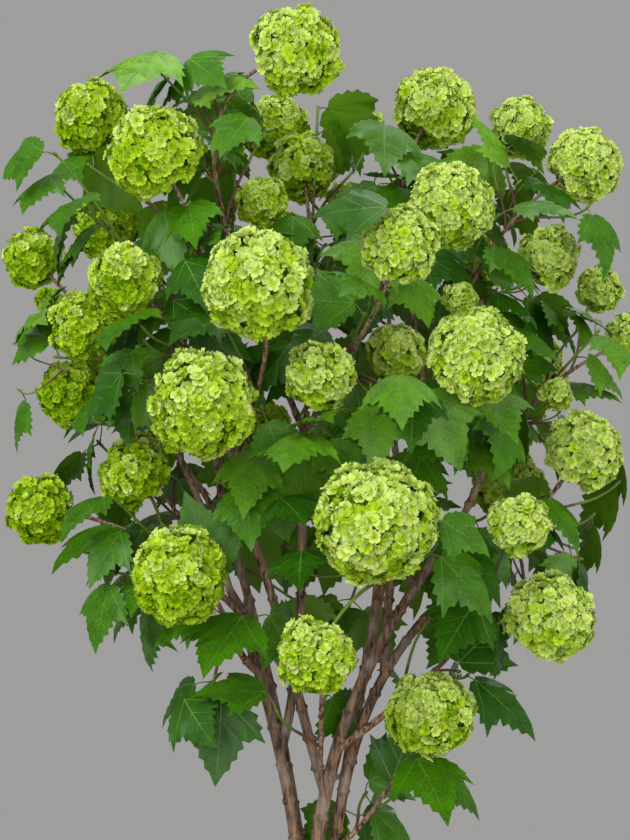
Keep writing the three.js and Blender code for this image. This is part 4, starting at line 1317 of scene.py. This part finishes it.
BLOTCH_LEVELS = (0.32, 0.68)  # of the noise, between which a mask goes from 0 to 1
STREAK_LEVELS = (0.38, 0.64)
PORE_LEVELS = (0.24, 0.10)


def mottle(tree, scale, detail):
    """Soft blotches: a mask from 0 to 1, at a scale given in blotches for each metre."""
    def outputs_of(group, given):
        look = {"Vector": object_place(group), "Scale": given["Scale"], "Detail": given["Detail"]}
        return {"Mask": ranged(group, effect(group, "TexNoise", "Fac", look), *BLOTCH_LEVELS)}

    group = shared_group("Mottle", {"Scale": 100.0, "Detail": 3.0}, outputs_of)
    return use_group(tree, group, {"Scale": scale, "Detail": detail})["Mask"]


def fine_relief(tree, scale, strength, distance):
    """A fine uneven surface as a normal."""
    def outputs_of(group, given):
        grain = effect(group, "TexNoise", "Fac", {"Vector": object_place(group), "Scale": given["Scale"]})
        relief = {"Height": grain, "Strength": given["Strength"], "Distance": given["Distance"]}
        return {"Normal": effect(group, "Bump", "Normal", relief)}

    group = shared_group("Fine Relief", {"Scale": 900.0, "Strength": 0.3, "Distance": 0.0002}, outputs_of)
    return use_group(tree, group, {"Scale": scale, "Strength": strength, "Distance": distance})["Normal"]


BARK_HEIGHTS = {"Foot": 0.20, "Top": 0.48}  # in metres: between them the old bark turns into young bark
STREAK_LENGTH = 0.16  # how much slower the streaks change along the wood


def bark_effect(tree, streaks):
    """Bark: streaks along the wood, pale pores, and how far up the plant a place is."""
    def outputs_of(group, given):
        place = object_place(group)
        squashed = effect(group, "Mapping", "Vector", {"Vector": place, "Scale": (1, 1, STREAK_LENGTH)})
        look = {"Vector": squashed, "Scale": given["Streaks"], "Detail": 5}
        pores = effect(group, "TexVoronoi", "Distance", {"Vector": place, "Scale": given["Pores"]})
        height = effect(group, "SeparateXYZ", "Z", {"Vector": place})
        return {
            "Streak": ranged(group, effect(group, "TexNoise", "Fac", look), *STREAK_LEVELS),
            "Pore": ranged(group, pores, *PORE_LEVELS),
            "Up": ranged(group, height, given["Foot"], given["Top"]),
        }

    group = shared_group("Bark", {"Streaks": 420.0, "Pores": 260.0, **BARK_HEIGHTS}, outputs_of)
    return use_group(tree, group, {"Streaks": streaks})


# ------------------------------------------------------------------ materials
# The ends of the bark's streaks: partly its own dark and pale grain, partly painted shade and painted
# highlight.
BARK_STREAK_DARK_AND_SHADE = {"foot": 0.05, "top": 0.10}  # of the bark's own colour, in its streaks
BARK_STREAK_PALE_AND_HIGHLIGHT = {"foot": 3.6, "top": 3.1}
BARK_UNDER_WORN = 0.7
BARK_PORE = 2.1
WORN_SHARE = 0.62
PORE_SHARE = 0.55
LEAF_BLOTCHES = (0.72, 1.22)  # of the leaf's own colour, at both ends of its blotches
VEIN_NET = {"scale": 330, "edge": 0.09, "middle": 0.02, "share": 0.55, "shade": 1.7}


def new_material(name, roughness, specular, look):
    """A material; its look gives the surface's other inputs for its node tree."""
    material = bpy.data.materials.new(name)
    material.use_nodes = True
    tree = material.node_tree
    surface = tree.nodes["Principled BSDF"]
    for label, value in {"Roughness": roughness, "Specular IOR Level": specular, **look(tree)}.items():
        plug(tree, surface.inputs[label], value)
    return material


def bark_material(name, foot, top, streaks, roughness):
    """Bark that turns lighter and redder with height, with streaks along the wood that are partly grain and
    partly painted highlight and shade, worn patches and pale pores.
    """
    def look(tree):
        bark = bark_effect(tree, streaks)
        patches = mottle(tree, scale=45.0, detail=4.0)
        dark, light = (
            mix_colours(tree, bark["Up"], shaded(foot, shade["foot"]), shaded(top, shade["top"]))
            for shade in (BARK_STREAK_DARK_AND_SHADE, BARK_STREAK_PALE_AND_HIGHLIGHT)
        )
        # Painted light: the streaks' dark and pale ends stand partly for shade and highlight on the wood.
        streaked = mix_colours(tree, bark["Streak"], dark, light)
        worn = mix_colours(tree, patches, shaded(foot, BARK_UNDER_WORN), colours().worn_bark)
        patched = mix_colours(tree, scaled(tree, patches, WORN_SHARE), streaked, worn)
        pored = mix_colours(tree, scaled(tree, bark["Pore"], PORE_SHARE), patched, shaded(foot, BARK_PORE))
        relief = {"Strength": 0.8, "Distance": 0.0006, "Height": bark["Streak"]}
        return {"Base Color": pored, "Normal": effect(tree, "Bump", "Normal", relief)}

    return new_material(name, roughness, specular=0.25, look=look)


def leaf_material(name, tint):
    """A satin leaf: soft blotches, a net of the finest veins, a fine grain, and a paler underside, partly its
    own colour and partly painted light that stands for light shining through the blade.
    """
    def look(tree):
        blotches = mottle(tree, scale=70.0, detail=3.0)
        upper = mix_colours(tree, blotches, *(shaded(tint, share) for share in LEAF_BLOTCHES))
        cells = {"Vector": object_place(tree), "Scale": VEIN_NET["scale"]}
        edges = effect(tree, "TexVoronoi", "Distance", cells, feature="DISTANCE_TO_EDGE")
        net = ranged(tree, edges, VEIN_NET["edge"], VEIN_NET["middle"], VEIN_NET["share"])
        netted = mix_colours(tree, net, upper, shaded(tint, VEIN_NET["shade"]))
        # The underside's colour is partly painted light: it stands for light shining through the blade.
        behind = effect(tree, "NewGeometry", "Backfacing")
        return {
            "Base Color": mix_colours(tree, behind, netted, colours().leaf_under),
            "Normal": fine_relief(tree, scale=1100.0, strength=0.35, distance=0.0003),
        }

    return new_material(name, roughness=0.40, specular=0.28, look=look)


def petal_material(name, tint, spread):
    """A soft petal with a slight change of colour from flower to flower."""
    def look(tree):
        blotches = mottle(tree, scale=160.0, detail=2.0)
        return {
            "Base Color": mix_colours(tree, blotches, shaded(tint, 1 - spread), shaded(tint, 1 + spread)),
            "Normal": fine_relief(tree, scale=1500.0, strength=0.25, distance=0.0002),
        }

    return new_material(name, roughness=0.7, specular=0.03, look=look)


def shoot_material(name, tint, darker):
    """Young wood and stalks, with a darker shade in soft streaks."""
    def look(tree):
        streaks = mottle(tree, scale=120.0, detail=4.0)
        return {
            "Base Color": mix_colours(tree, streaks, tint, shaded(tint, darker)),
            "Normal": fine_relief(tree, scale=900.0, strength=0.5, distance=0.0003),
        }

    return new_material(name, roughness=0.55, specular=0.35, look=look)


# ------------------------------------------------------------------ what a user may change
def colour_property(name, description, colour):
    return bpy.props.FloatVectorProperty(
        name=name, description=description, default=colour, size=3, min=0, max=1, subtype="COLOR"
    )


class ViburnumSizes(bpy.types.PropertyGroup):
    finer_sprays: bpy.props.IntProperty(
        name="Finer Sprays", description="How many finer leafy sprays are tried on each mass",
        default=20, min=0, max=60,
    )
    bark_relief: bpy.props.FloatProperty(
        name="Bark Relief", description="How strongly the lumps of the bark stand out",
        default=0.65, min=0, max=3, subtype="FACTOR",
    )
    petiole_thickness: bpy.props.FloatProperty(
        name="Petiole Thickness", description="The thickness of a leaf's stalk",
        default=0.0011, min=0.0004, max=0.003, precision=4, unit="LENGTH",
    )
    floor_radius: bpy.props.FloatProperty(
        name="Floor Radius", description="How far the pale floor reaches before it has faded",
        default=0.44, min=0.3, max=2, unit="LENGTH",
    )


class ViburnumColours(bpy.types.PropertyGroup):
    foot_bark: colour_property("Old Bark", "The bark of the lower stems", (0.108, 0.059, 0.031))
    top_bark: colour_property("Young Bark", "The bark of the upper stems and boughs", (0.155, 0.082, 0.042))
    worn_bark: colour_property("Worn Bark", "Pale grey patches on the bark", (0.45, 0.36, 0.30))
    shoot: colour_property("Shoots", "Young shoots where they leave the boughs", (0.17, 0.085, 0.045))
    stalk: colour_property("Stalks", "Green stalks under the flower heads and leaves", (0.15, 0.24, 0.025))
    leaf_dark: colour_property("Dark Leaves", "The darkest leaves", (0.021, 0.095, 0.001))
    leaf_mid: colour_property("Leaves", "Most of the leaves", (0.046, 0.160, 0.001))
    leaf_light: colour_property("Light Leaves", "The lighter leaves", (0.076, 0.205, 0.006))
    leaf_young: colour_property("Young Leaves", "The youngest leaves", (0.120, 0.290, 0.010))
    leaf_vein: colour_property("Veins", "The raised veins of a leaf", (0.120, 0.250, 0.035))
    # Partly the underside's own paler colour, partly painted light shining through the blade.
    leaf_under: colour_property("Undersides", "The underside of a leaf", (0.110, 0.250, 0.010))
    petal_pale: colour_property("Pale Petals", "The petals that are most open", (0.550, 0.685, 0.175))
    petal_lime: colour_property("Lime Petals", "Most of the petals", (0.415, 0.588, 0.034))
    # Flowers in the clefts get this tint as painted shade, young flowers as their own colour.
    petal_green: colour_property("Green Petals", "Young petals and those in clefts", (0.300, 0.500, 0.006))
    throat: colour_property("Throats", "The middles of the greenest flowers", (0.180, 0.365, 0.001))
    # Painted shade: the colour of the dark core ball, which stands for the shadow inside a head.
    cleft_shade: colour_property("Clefts", "The inside of a flower head", (0.070, 0.200, 0.001))
    floor: colour_property("Floor", "The floor round the plant", (0.31, 0.307, 0.303))
    backdrop: colour_property("Surroundings", "The plain grey all round", (0.347, 0.344, 0.340))


def sizes():
    return bpy.context.scene.viburnum_sizes


def colours():
    return bpy.context.scene.viburnum_colours


def plant():
    return grow_plant(sizes().finer_sprays)


def regions():
    """Each side of the plant, with its masses."""
    masses = plant()["masses"]
    return [(region, [mass for mass in masses if mass.region == region]) for region in REGIONS]


def nodes_of(masses, kind):
    return [f"{kind}_{mass.name}" for mass in masses]


def batch_pieces(kind, materials, add_mass):
    """One piece for each side of the plant, filled mass by mass; the blossom of the back is in two."""
    for region, masses in regions():
        parts = {f"{kind}_{region}": masses}
        if (kind, region) == ("blossom", "back"):
            parts = {"blossom_back_1": masses[:2], "blossom_back_2": masses[2:]}
        for name, some in parts.items():
            batch = Batch()
            for mass in some:
                add_mass(batch, mass)
            finish_piece(batch.piece(name, materials), nodes_of(some, "mass"))
    return {"FINISHED"}


# ------------------------------------------------------------------ operators
CROWN_RIBS = [(0.05, 5, 0.6), (0.035, 9, 2)]  # how high the ribs of the root crown are, how many and where
CROWN_LUMPS = [(0.10, 6, 3), (0.05, 2.4, 1)]  # how high its lumps are, how wide, and how much longer upward
CROWN_BARE = 4  # its relief grows from nothing at the cut to full at this height
CROWN_TOP = 0.7  # how wide its top ends, as a share of its top radius
CROWN_CLOSES = {"from": 30, "over": 12, "by": 0.6}  # where its ribs run out toward the top


class VIBURNUM_OT_root_crown(bpy.types.Operator):
    """Model the flared root crown, from its flat cut at the ground to where the stems leave it"""

    bl_idname = "viburnum.root_crown"
    bl_label = "Root Crown"

    def execute(self, context):
        foot, top, height = (ROOT_CROWN[key] * MM for key in ("foot_radius", "top_radius", "height"))
        bpy.ops.object.select_all(action="DESELECT")
        bpy.ops.mesh.primitive_circle_add(vertices=72, radius=foot, fill_type="NGON", location=(0, 0, 0))
        piece = context.object
        piece.name = "root_crown_bark"
        profile = [(foot, 0.0)]
        profile += [(lerp(top, foot, width), height * up) for width, up in ROOT_CROWN_FLARE]
        profile += [(top * CROWN_TOP, height)]
        bpy.ops.object.mode_set(mode="EDIT")
        bpy.ops.mesh.select_all(action="SELECT")
        for (wide, low), (narrow, high) in zip(profile, profile[1:]):
            bpy.ops.mesh.extrude_region_move(TRANSFORM_OT_translate={"value": (0, 0, high - low)})
            bpy.ops.transform.resize(value=(narrow / wide, narrow / wide, 1), center_override=(0, 0, high))
        bpy.ops.mesh.select_all(action="SELECT")
        bpy.ops.mesh.subdivide(number_cuts=3)
        bpy.ops.mesh.normals_make_consistent(inside=False)
        bpy.ops.object.mode_set(mode="OBJECT")
        for vertex in piece.data.vertices:
            self.shift(vertex)
        bpy.ops.object.shade_smooth_by_angle(angle=math.radians(50))
        foot_bark = colours().foot_bark
        bark = bark_material("old_bark", foot_bark, foot_bark, streaks=300.0, roughness=0.9)
        finish_piece(piece, ["root_crown"], bark)
        return {"FINISHED"}

    def shift(self, vertex):
        """Moves a point of the root crown out or in, by its ribs and lumps."""
        spot = vertex.co / MM
        level = Vector((spot.x, spot.y, 0))
        if level.length < 1:
            return
        bearing = math.atan2(spot.y, spot.x)
        ribs = sum(high * math.sin(count * bearing + start) for high, count, start in CROWN_RIBS)
        lumps = sum(
            high * noise.noise(Vector((spot.x, spot.y, spot.z / longer)) / wide)
            for high, wide, longer in CROWN_LUMPS
        )
        closed = min(1.0, max(0.0, (spot.z - CROWN_CLOSES["from"]) / CROWN_CLOSES["over"]))
        out = ribs * (1 - closed * CROWN_CLOSES["by"]) + sizes().bark_relief * lumps
        vertex.co += level.normalized() * out * level.length * MM * min(1.0, spot.z / CROWN_BARE)


class VIBURNUM_OT_stems(bpy.types.Operator):
    """Model the woody stems with the relief of their bark"""

    bl_idname = "viburnum.stems"
    bl_label = "Stems"

    def execute(self, context):
        shades = colours()
        bark = bark_material("stem_bark", shades.foot_bark, shades.top_bark, streaks=420.0, roughness=0.5)
        for i, (name, stem) in enumerate(plant()["stems"].items()):
            piece = limb_piece(f"{name}_bark", stem, "stem", stem.radii[0], i)
            finish_piece(piece, [name], bark)
        return {"FINISHED"}


class VIBURNUM_OT_boughs(bpy.types.Operator):
    """Model the boughs, each in one run from its stem to its tip, and join those of each side"""

    bl_idname = "viburnum.boughs"
    bl_label = "Boughs"

    def execute(self, context):
        top_bark = colours().top_bark
        bark = bark_material("bough_bark", top_bark, top_bark, streaks=520.0, roughness=0.5)
        for region, masses in regions():
            pieces = []
            for mass in masses:
                low_radius = mass.leader.radii[0] * SLIM.get(mass.name, 1)
                name = f"bough_{mass.name}_bark"
                pieces.append(limb_piece(name, mass.leader, "bough", low_radius, len(mass.name)))
            piece = join_pieces(pieces, f"boughs_{region}")
            finish_piece(piece, nodes_of(masses, "bough") + nodes_of(masses, "mass"), bark)
        return {"FINISHED"}


TWIG_RINGS = {"twig": 13, "spray": 9}
TWIG_SIDES = 6
BROWN_PART = 0.45  # of a twig, from its fork
NODE_ON_TWIG = 0.28  # how much a twig swells at a pair of leaves
NODE_LENGTH = 1.4
RINGS_BESIDE_NODE = 0.03  # before and after it, as a share of the twig's length
BUD_LENGTH = 3.2
BUD_SUNK = 0.4
BUD_PROFILE = [(0, 0.9), (0.25, 1.45), (0.5, 1.3), (0.78, 0.75), (1.0, 0.12)]  # how far up, and how wide
PAST_LAST_PAIR = 2.5  # how far a flowerless twig runs on past its last pair of leaves
PETIOLE_PROFILE = [(0, 1.5), (0.35, 1.0), (0.7, 0.9), (1.0, 1.1)]
PETIOLE_RUNS_ON = 1.5  # into the blade
TWIG_SHARES = np.linspace(0, 1, 60)  # along a twig, to find where a leaf is rooted


def profiled(limb, profile, radius, sides):
    """A closed tube round a limb, whose width follows a profile of shares."""
    shares, widths = np.array(profile).T
    return tube(limb, shares, radius * widths, sides)


def twig_shape(limb, rings, pairs, end):
    """A twig with a swelling at each pair of leaves: its points, triangles and the share of each of them."""
    shares = np.linspace(0, end, rings)
    if len(pairs):
        beside = [pairs - RINGS_BESIDE_NODE, pairs + RINGS_BESIDE_NODE]
        shares = np.unique(np.clip(np.concatenate([shares, pairs, *beside]), 0, end))
    radii = limb.radius(shares) * np.ones(len(shares))
    for pair in pairs:
        radii *= 1 + NODE_ON_TWIG * np.exp(-(((shares - pair) * limb.length / NODE_LENGTH) ** 2))
    points, faces = tube(limb, shares, radii, TWIG_SIDES)
    steps = np.repeat(shares[:-1], 2 * TWIG_SIDES)
    return points, faces, np.concatenate([steps, np.zeros(TWIG_SIDES), np.ones(TWIG_SIDES)])


def bud_shape(limb, end):
    """A pointed bud at the tip of a flowerless twig."""
    way, point = limb.way(end), limb.point(end)
    tip = Limb(point - way * BUD_SUNK, way, point + way * BUD_LENGTH, way, [1, 1], [0, 1])
    return profiled(tip, BUD_PROFILE, limb.radius(end), TWIG_SIDES)


class VIBURNUM_OT_twigs(bpy.types.Operator):
    """Grow the twigs, leafy sprays, buds and leaf stalks of each side"""

    bl_idname = "viburnum.twigs"
    bl_label = "Twigs"

    def execute(self, context):
        shades = colours()
        materials = [
            shoot_material("shoot_bark", shades.shoot, darker=0.6),
            shoot_material("green_stalk", shades.stalk, darker=0.65),
        ]
        return batch_pieces("twigs", materials, self.add_mass)

    def add_mass(self, batch, mass):
        headed = [limb for limb, _ in mass.headed]
        rooted = {}
        for leaf in mass.leaves:
            gaps = np.linalg.norm(leaf.limb.point(TWIG_SHARES) - leaf.root, axis=1)
            rooted.setdefault(leaf.limb, []).append(TWIG_SHARES[gaps.argmin()])
        for limb in [*mass.twigs, *mass.leafy]:
            carries_head = limb in headed
            rings = TWIG_RINGS["twig" if carries_head else "spray"]
            pairs = np.unique(np.round(rooted.get(limb, []), 2))
            end = 1.0 if carries_head else min(1.0, max(pairs) + PAST_LAST_PAIR / limb.length)
            points, faces, steps = twig_shape(limb, rings, pairs, end)
            batch.add(points[None], faces, (steps > BROWN_PART).astype(int))
            if not carries_head:
                points, faces = bud_shape(limb, end)
                batch.add(points[None], faces, 1)
        thick = sizes().petiole_thickness / MM / 2
        for leaf in mass.leaves:
            into_blade = leaf.petiole_end + leaf.along * PETIOLE_RUNS_ON
            petiole = Limb(leaf.root, leaf.out, into_blade, leaf.along, [thick, thick], [0, 1])
            points, faces = profiled(petiole, PETIOLE_PROFILE, thick, 5)
            batch.add(points[None], faces, 1)


LEAF_TINTS = ["dark", "mid", "light", "young", "vein"]
LEAF_LEVELS = [0.34, 0.76, 0.93]  # above each level a leaf has the next tint
LEAF_LIGHT = {"out": 0.25, "up": 0.10, "draw": 0.75}


class VIBURNUM_OT_leaves(bpy.types.Operator):
    """Place the cut and veined leaves on the twigs of each side"""

    bl_idname = "viburnum.leaves"
    bl_label = "Leaves"

    def execute(self, context):
        names = [f"leaf_{tint}" for tint in LEAF_TINTS]
        materials = [leaf_material(name, getattr(colours(), name)) for name in names]
        template, faces, is_vein = leaf_template()

        def add_mass(batch, mass):
            tints = {}
            for leaf in mass.leaves:
                tint = tints.setdefault(leaf.limb, self.tint_of(leaf, mass.fine_dice))
                slots = np.where(is_vein, LEAF_TINTS.index("vein"), tint)
                batch.add(blade_points(leaf, template)[None], faces, slots)

        return batch_pieces("leaves", materials, add_mass)

    def tint_of(self, leaf, dice):
        """A tint that is darker low and inside, and younger at the outer tips."""
        reach = np.linalg.norm((leaf.petiole_end - SPACE_MIDDLE)[:2]) / SPACE["width"]
        height = (leaf.petiole_end[2] - SPACE_MIDDLE[2]) / SPACE["above"]
        light = LEAF_LIGHT["out"] * reach + LEAF_LIGHT["up"] * height + LEAF_LIGHT["draw"] * dice.draw()
        return sum(light > level for level in LEAF_LEVELS)


class VIBURNUM_OT_blossom(bpy.types.Operator):
    """Cover the flower heads of each side with small five-petalled flowers"""

    bl_idname = "viburnum.blossom"
    bl_label = "Flower Heads"

    def execute(self, context):
        materials = [
            petal_material(name, getattr(colours(), tint), spread) for name, tint, spread in PETALS_IN_ORDER
        ]
        templates, core = flower_templates(), ball_shape(3)

        def add_mass(batch, mass):
            for k, ball in enumerate(mass.balls):
                head_flowers(batch, ball, templates, core, int(abs(ball.middle @ HEAD_SEED)) + k)

        return batch_pieces("blossom", materials, add_mass)


# name, place, how wide and how strong; each aims at the crown
LIGHTS = [
    ("key_light", (-1.35, -1.55, 1.75), 1.6, 39),
    ("fill_light", (1.7, -1.2, 0.75), 2.0, 22),
    ("front_light", (-0.4, -2.2, 0.4), 1.6, 18),
    ("top_light", (0.2, 0.5, 2.3), 1.6, 16),
    ("back_light", (0.4, 2.0, 1.1), 1.6, 11),
]
LIT_PLACE = (0, 0, 0.42)
SENSOR = 36
FLOOR_FADES = (0.35, 0.98)  # from one share of its radius to the other


class VIBURNUM_OT_stage(bpy.types.Operator):
    """Set the pale floor, the soft studio light and the camera"""

    bl_idname = "viburnum.stage"
    bl_label = "Stage"

    def execute(self, context):
        self.floor(context)
        world = bpy.data.worlds.new("plain_grey")
        world.use_nodes = True
        world.node_tree.nodes["Background"].inputs["Color"].default_value = (*colours().backdrop, 1)
        context.scene.world = world
        context.scene.view_settings.view_transform = "Standard"
        context.scene.view_settings.look = "None"
        for name, place, size, power in LIGHTS:
            turn = (Vector(LIT_PLACE) - Vector(place)).to_track_quat("-Z", "Y").to_euler()
            bpy.ops.object.light_add(type="AREA", location=place, rotation=turn)
            lamp = context.object
            lamp.name = name
            lamp.data.shape = "DISK"
            lamp.data.size = size
            lamp.data.energy = power
        place = Vector((FRONT_VIEW["across"], -FRONT_VIEW["distance"], FRONT_VIEW["height"])) * MM
        bpy.ops.object.camera_add(location=place, rotation=(math.pi / 2, 0, 0))
        camera = context.object
        camera.name = "camera"
        camera.data.sensor_fit = "VERTICAL"
        camera.data.sensor_height = SENSOR
        camera.data.lens = SENSOR * FRONT_VIEW["distance"] / FRONT_VIEW["high"]
        context.scene.camera = camera
        return {"FINISHED"}

    def floor(self, context):
        """A pale round floor that fades into the plain grey, so that no edge shows."""
        radius = sizes().floor_radius
        low, high = (radius * share for share in FLOOR_FADES)
        bpy.ops.object.select_all(action="DESELECT")
        bpy.ops.mesh.primitive_circle_add(vertices=96, radius=radius, fill_type="NGON", location=(0, 0, 0))
        floor = context.object
        floor.name = "floor"
        material = new_material(
            "floor_paper", roughness=0.9, specular=0.2, look=lambda tree: {"Base Color": colours().floor}
        )
        tree = material.node_tree
        out = effect(tree, "VectorMath", "Value", {0: object_place(tree)}, operation="LENGTH")
        edge = {"Value": out, "From Min": low, "From Max": high}
        fade = effect(tree, "MapRange", "Result", edge, interpolation_type="SMOOTHERSTEP")
        glow = effect(tree, "Emission", "Emission", {"Color": colours().backdrop})
        surface = tree.nodes["Principled BSDF"].outputs["BSDF"]
        faded = effect(tree, "MixShader", "Shader", {"Fac": fade, 1: surface, 2: glow})
        plug(tree, tree.nodes["Material Output"].inputs["Surface"], faded)
        floor.data.materials.append(material)


class VIBURNUM_PT_panel(bpy.types.Panel):
    bl_label = "Snowball Viburnum"
    bl_idname = "VIBURNUM_PT_panel"
    bl_space_type = "VIEW_3D"
    bl_region_type = "UI"
    bl_category = "Viburnum"

    def draw(self, context):
        for group in (context.scene.viburnum_sizes, context.scene.viburnum_colours):
            for name in group.bl_rna.properties.keys():
                if name not in ("rna_type", "name"):
                    self.layout.prop(group, name)
        for step in STEPS_IN_ORDER:
            self.layout.operator(step.bl_idname)


STEPS_IN_ORDER = (
    VIBURNUM_OT_stage, VIBURNUM_OT_root_crown, VIBURNUM_OT_stems, VIBURNUM_OT_boughs, VIBURNUM_OT_twigs,
    VIBURNUM_OT_leaves, VIBURNUM_OT_blossom,
)
CLASSES = (ViburnumSizes, ViburnumColours, *STEPS_IN_ORDER, VIBURNUM_PT_panel)


def register():
    for each in CLASSES:
        bpy.utils.register_class(each)
    bpy.types.Scene.viburnum_sizes = bpy.props.PointerProperty(type=ViburnumSizes)
    bpy.types.Scene.viburnum_colours = bpy.props.PointerProperty(type=ViburnumColours)


def unregister():
    del bpy.types.Scene.viburnum_colours
    del bpy.types.Scene.viburnum_sizes
    for each in reversed(CLASSES):
        bpy.utils.unregister_class(each)


def main():
    register()
    for step in STEPS_IN_ORDER:
        category, name = step.bl_idname.split(".")
        getattr(getattr(bpy.ops, category), name)()


if __name__ == "__main__":
    main()
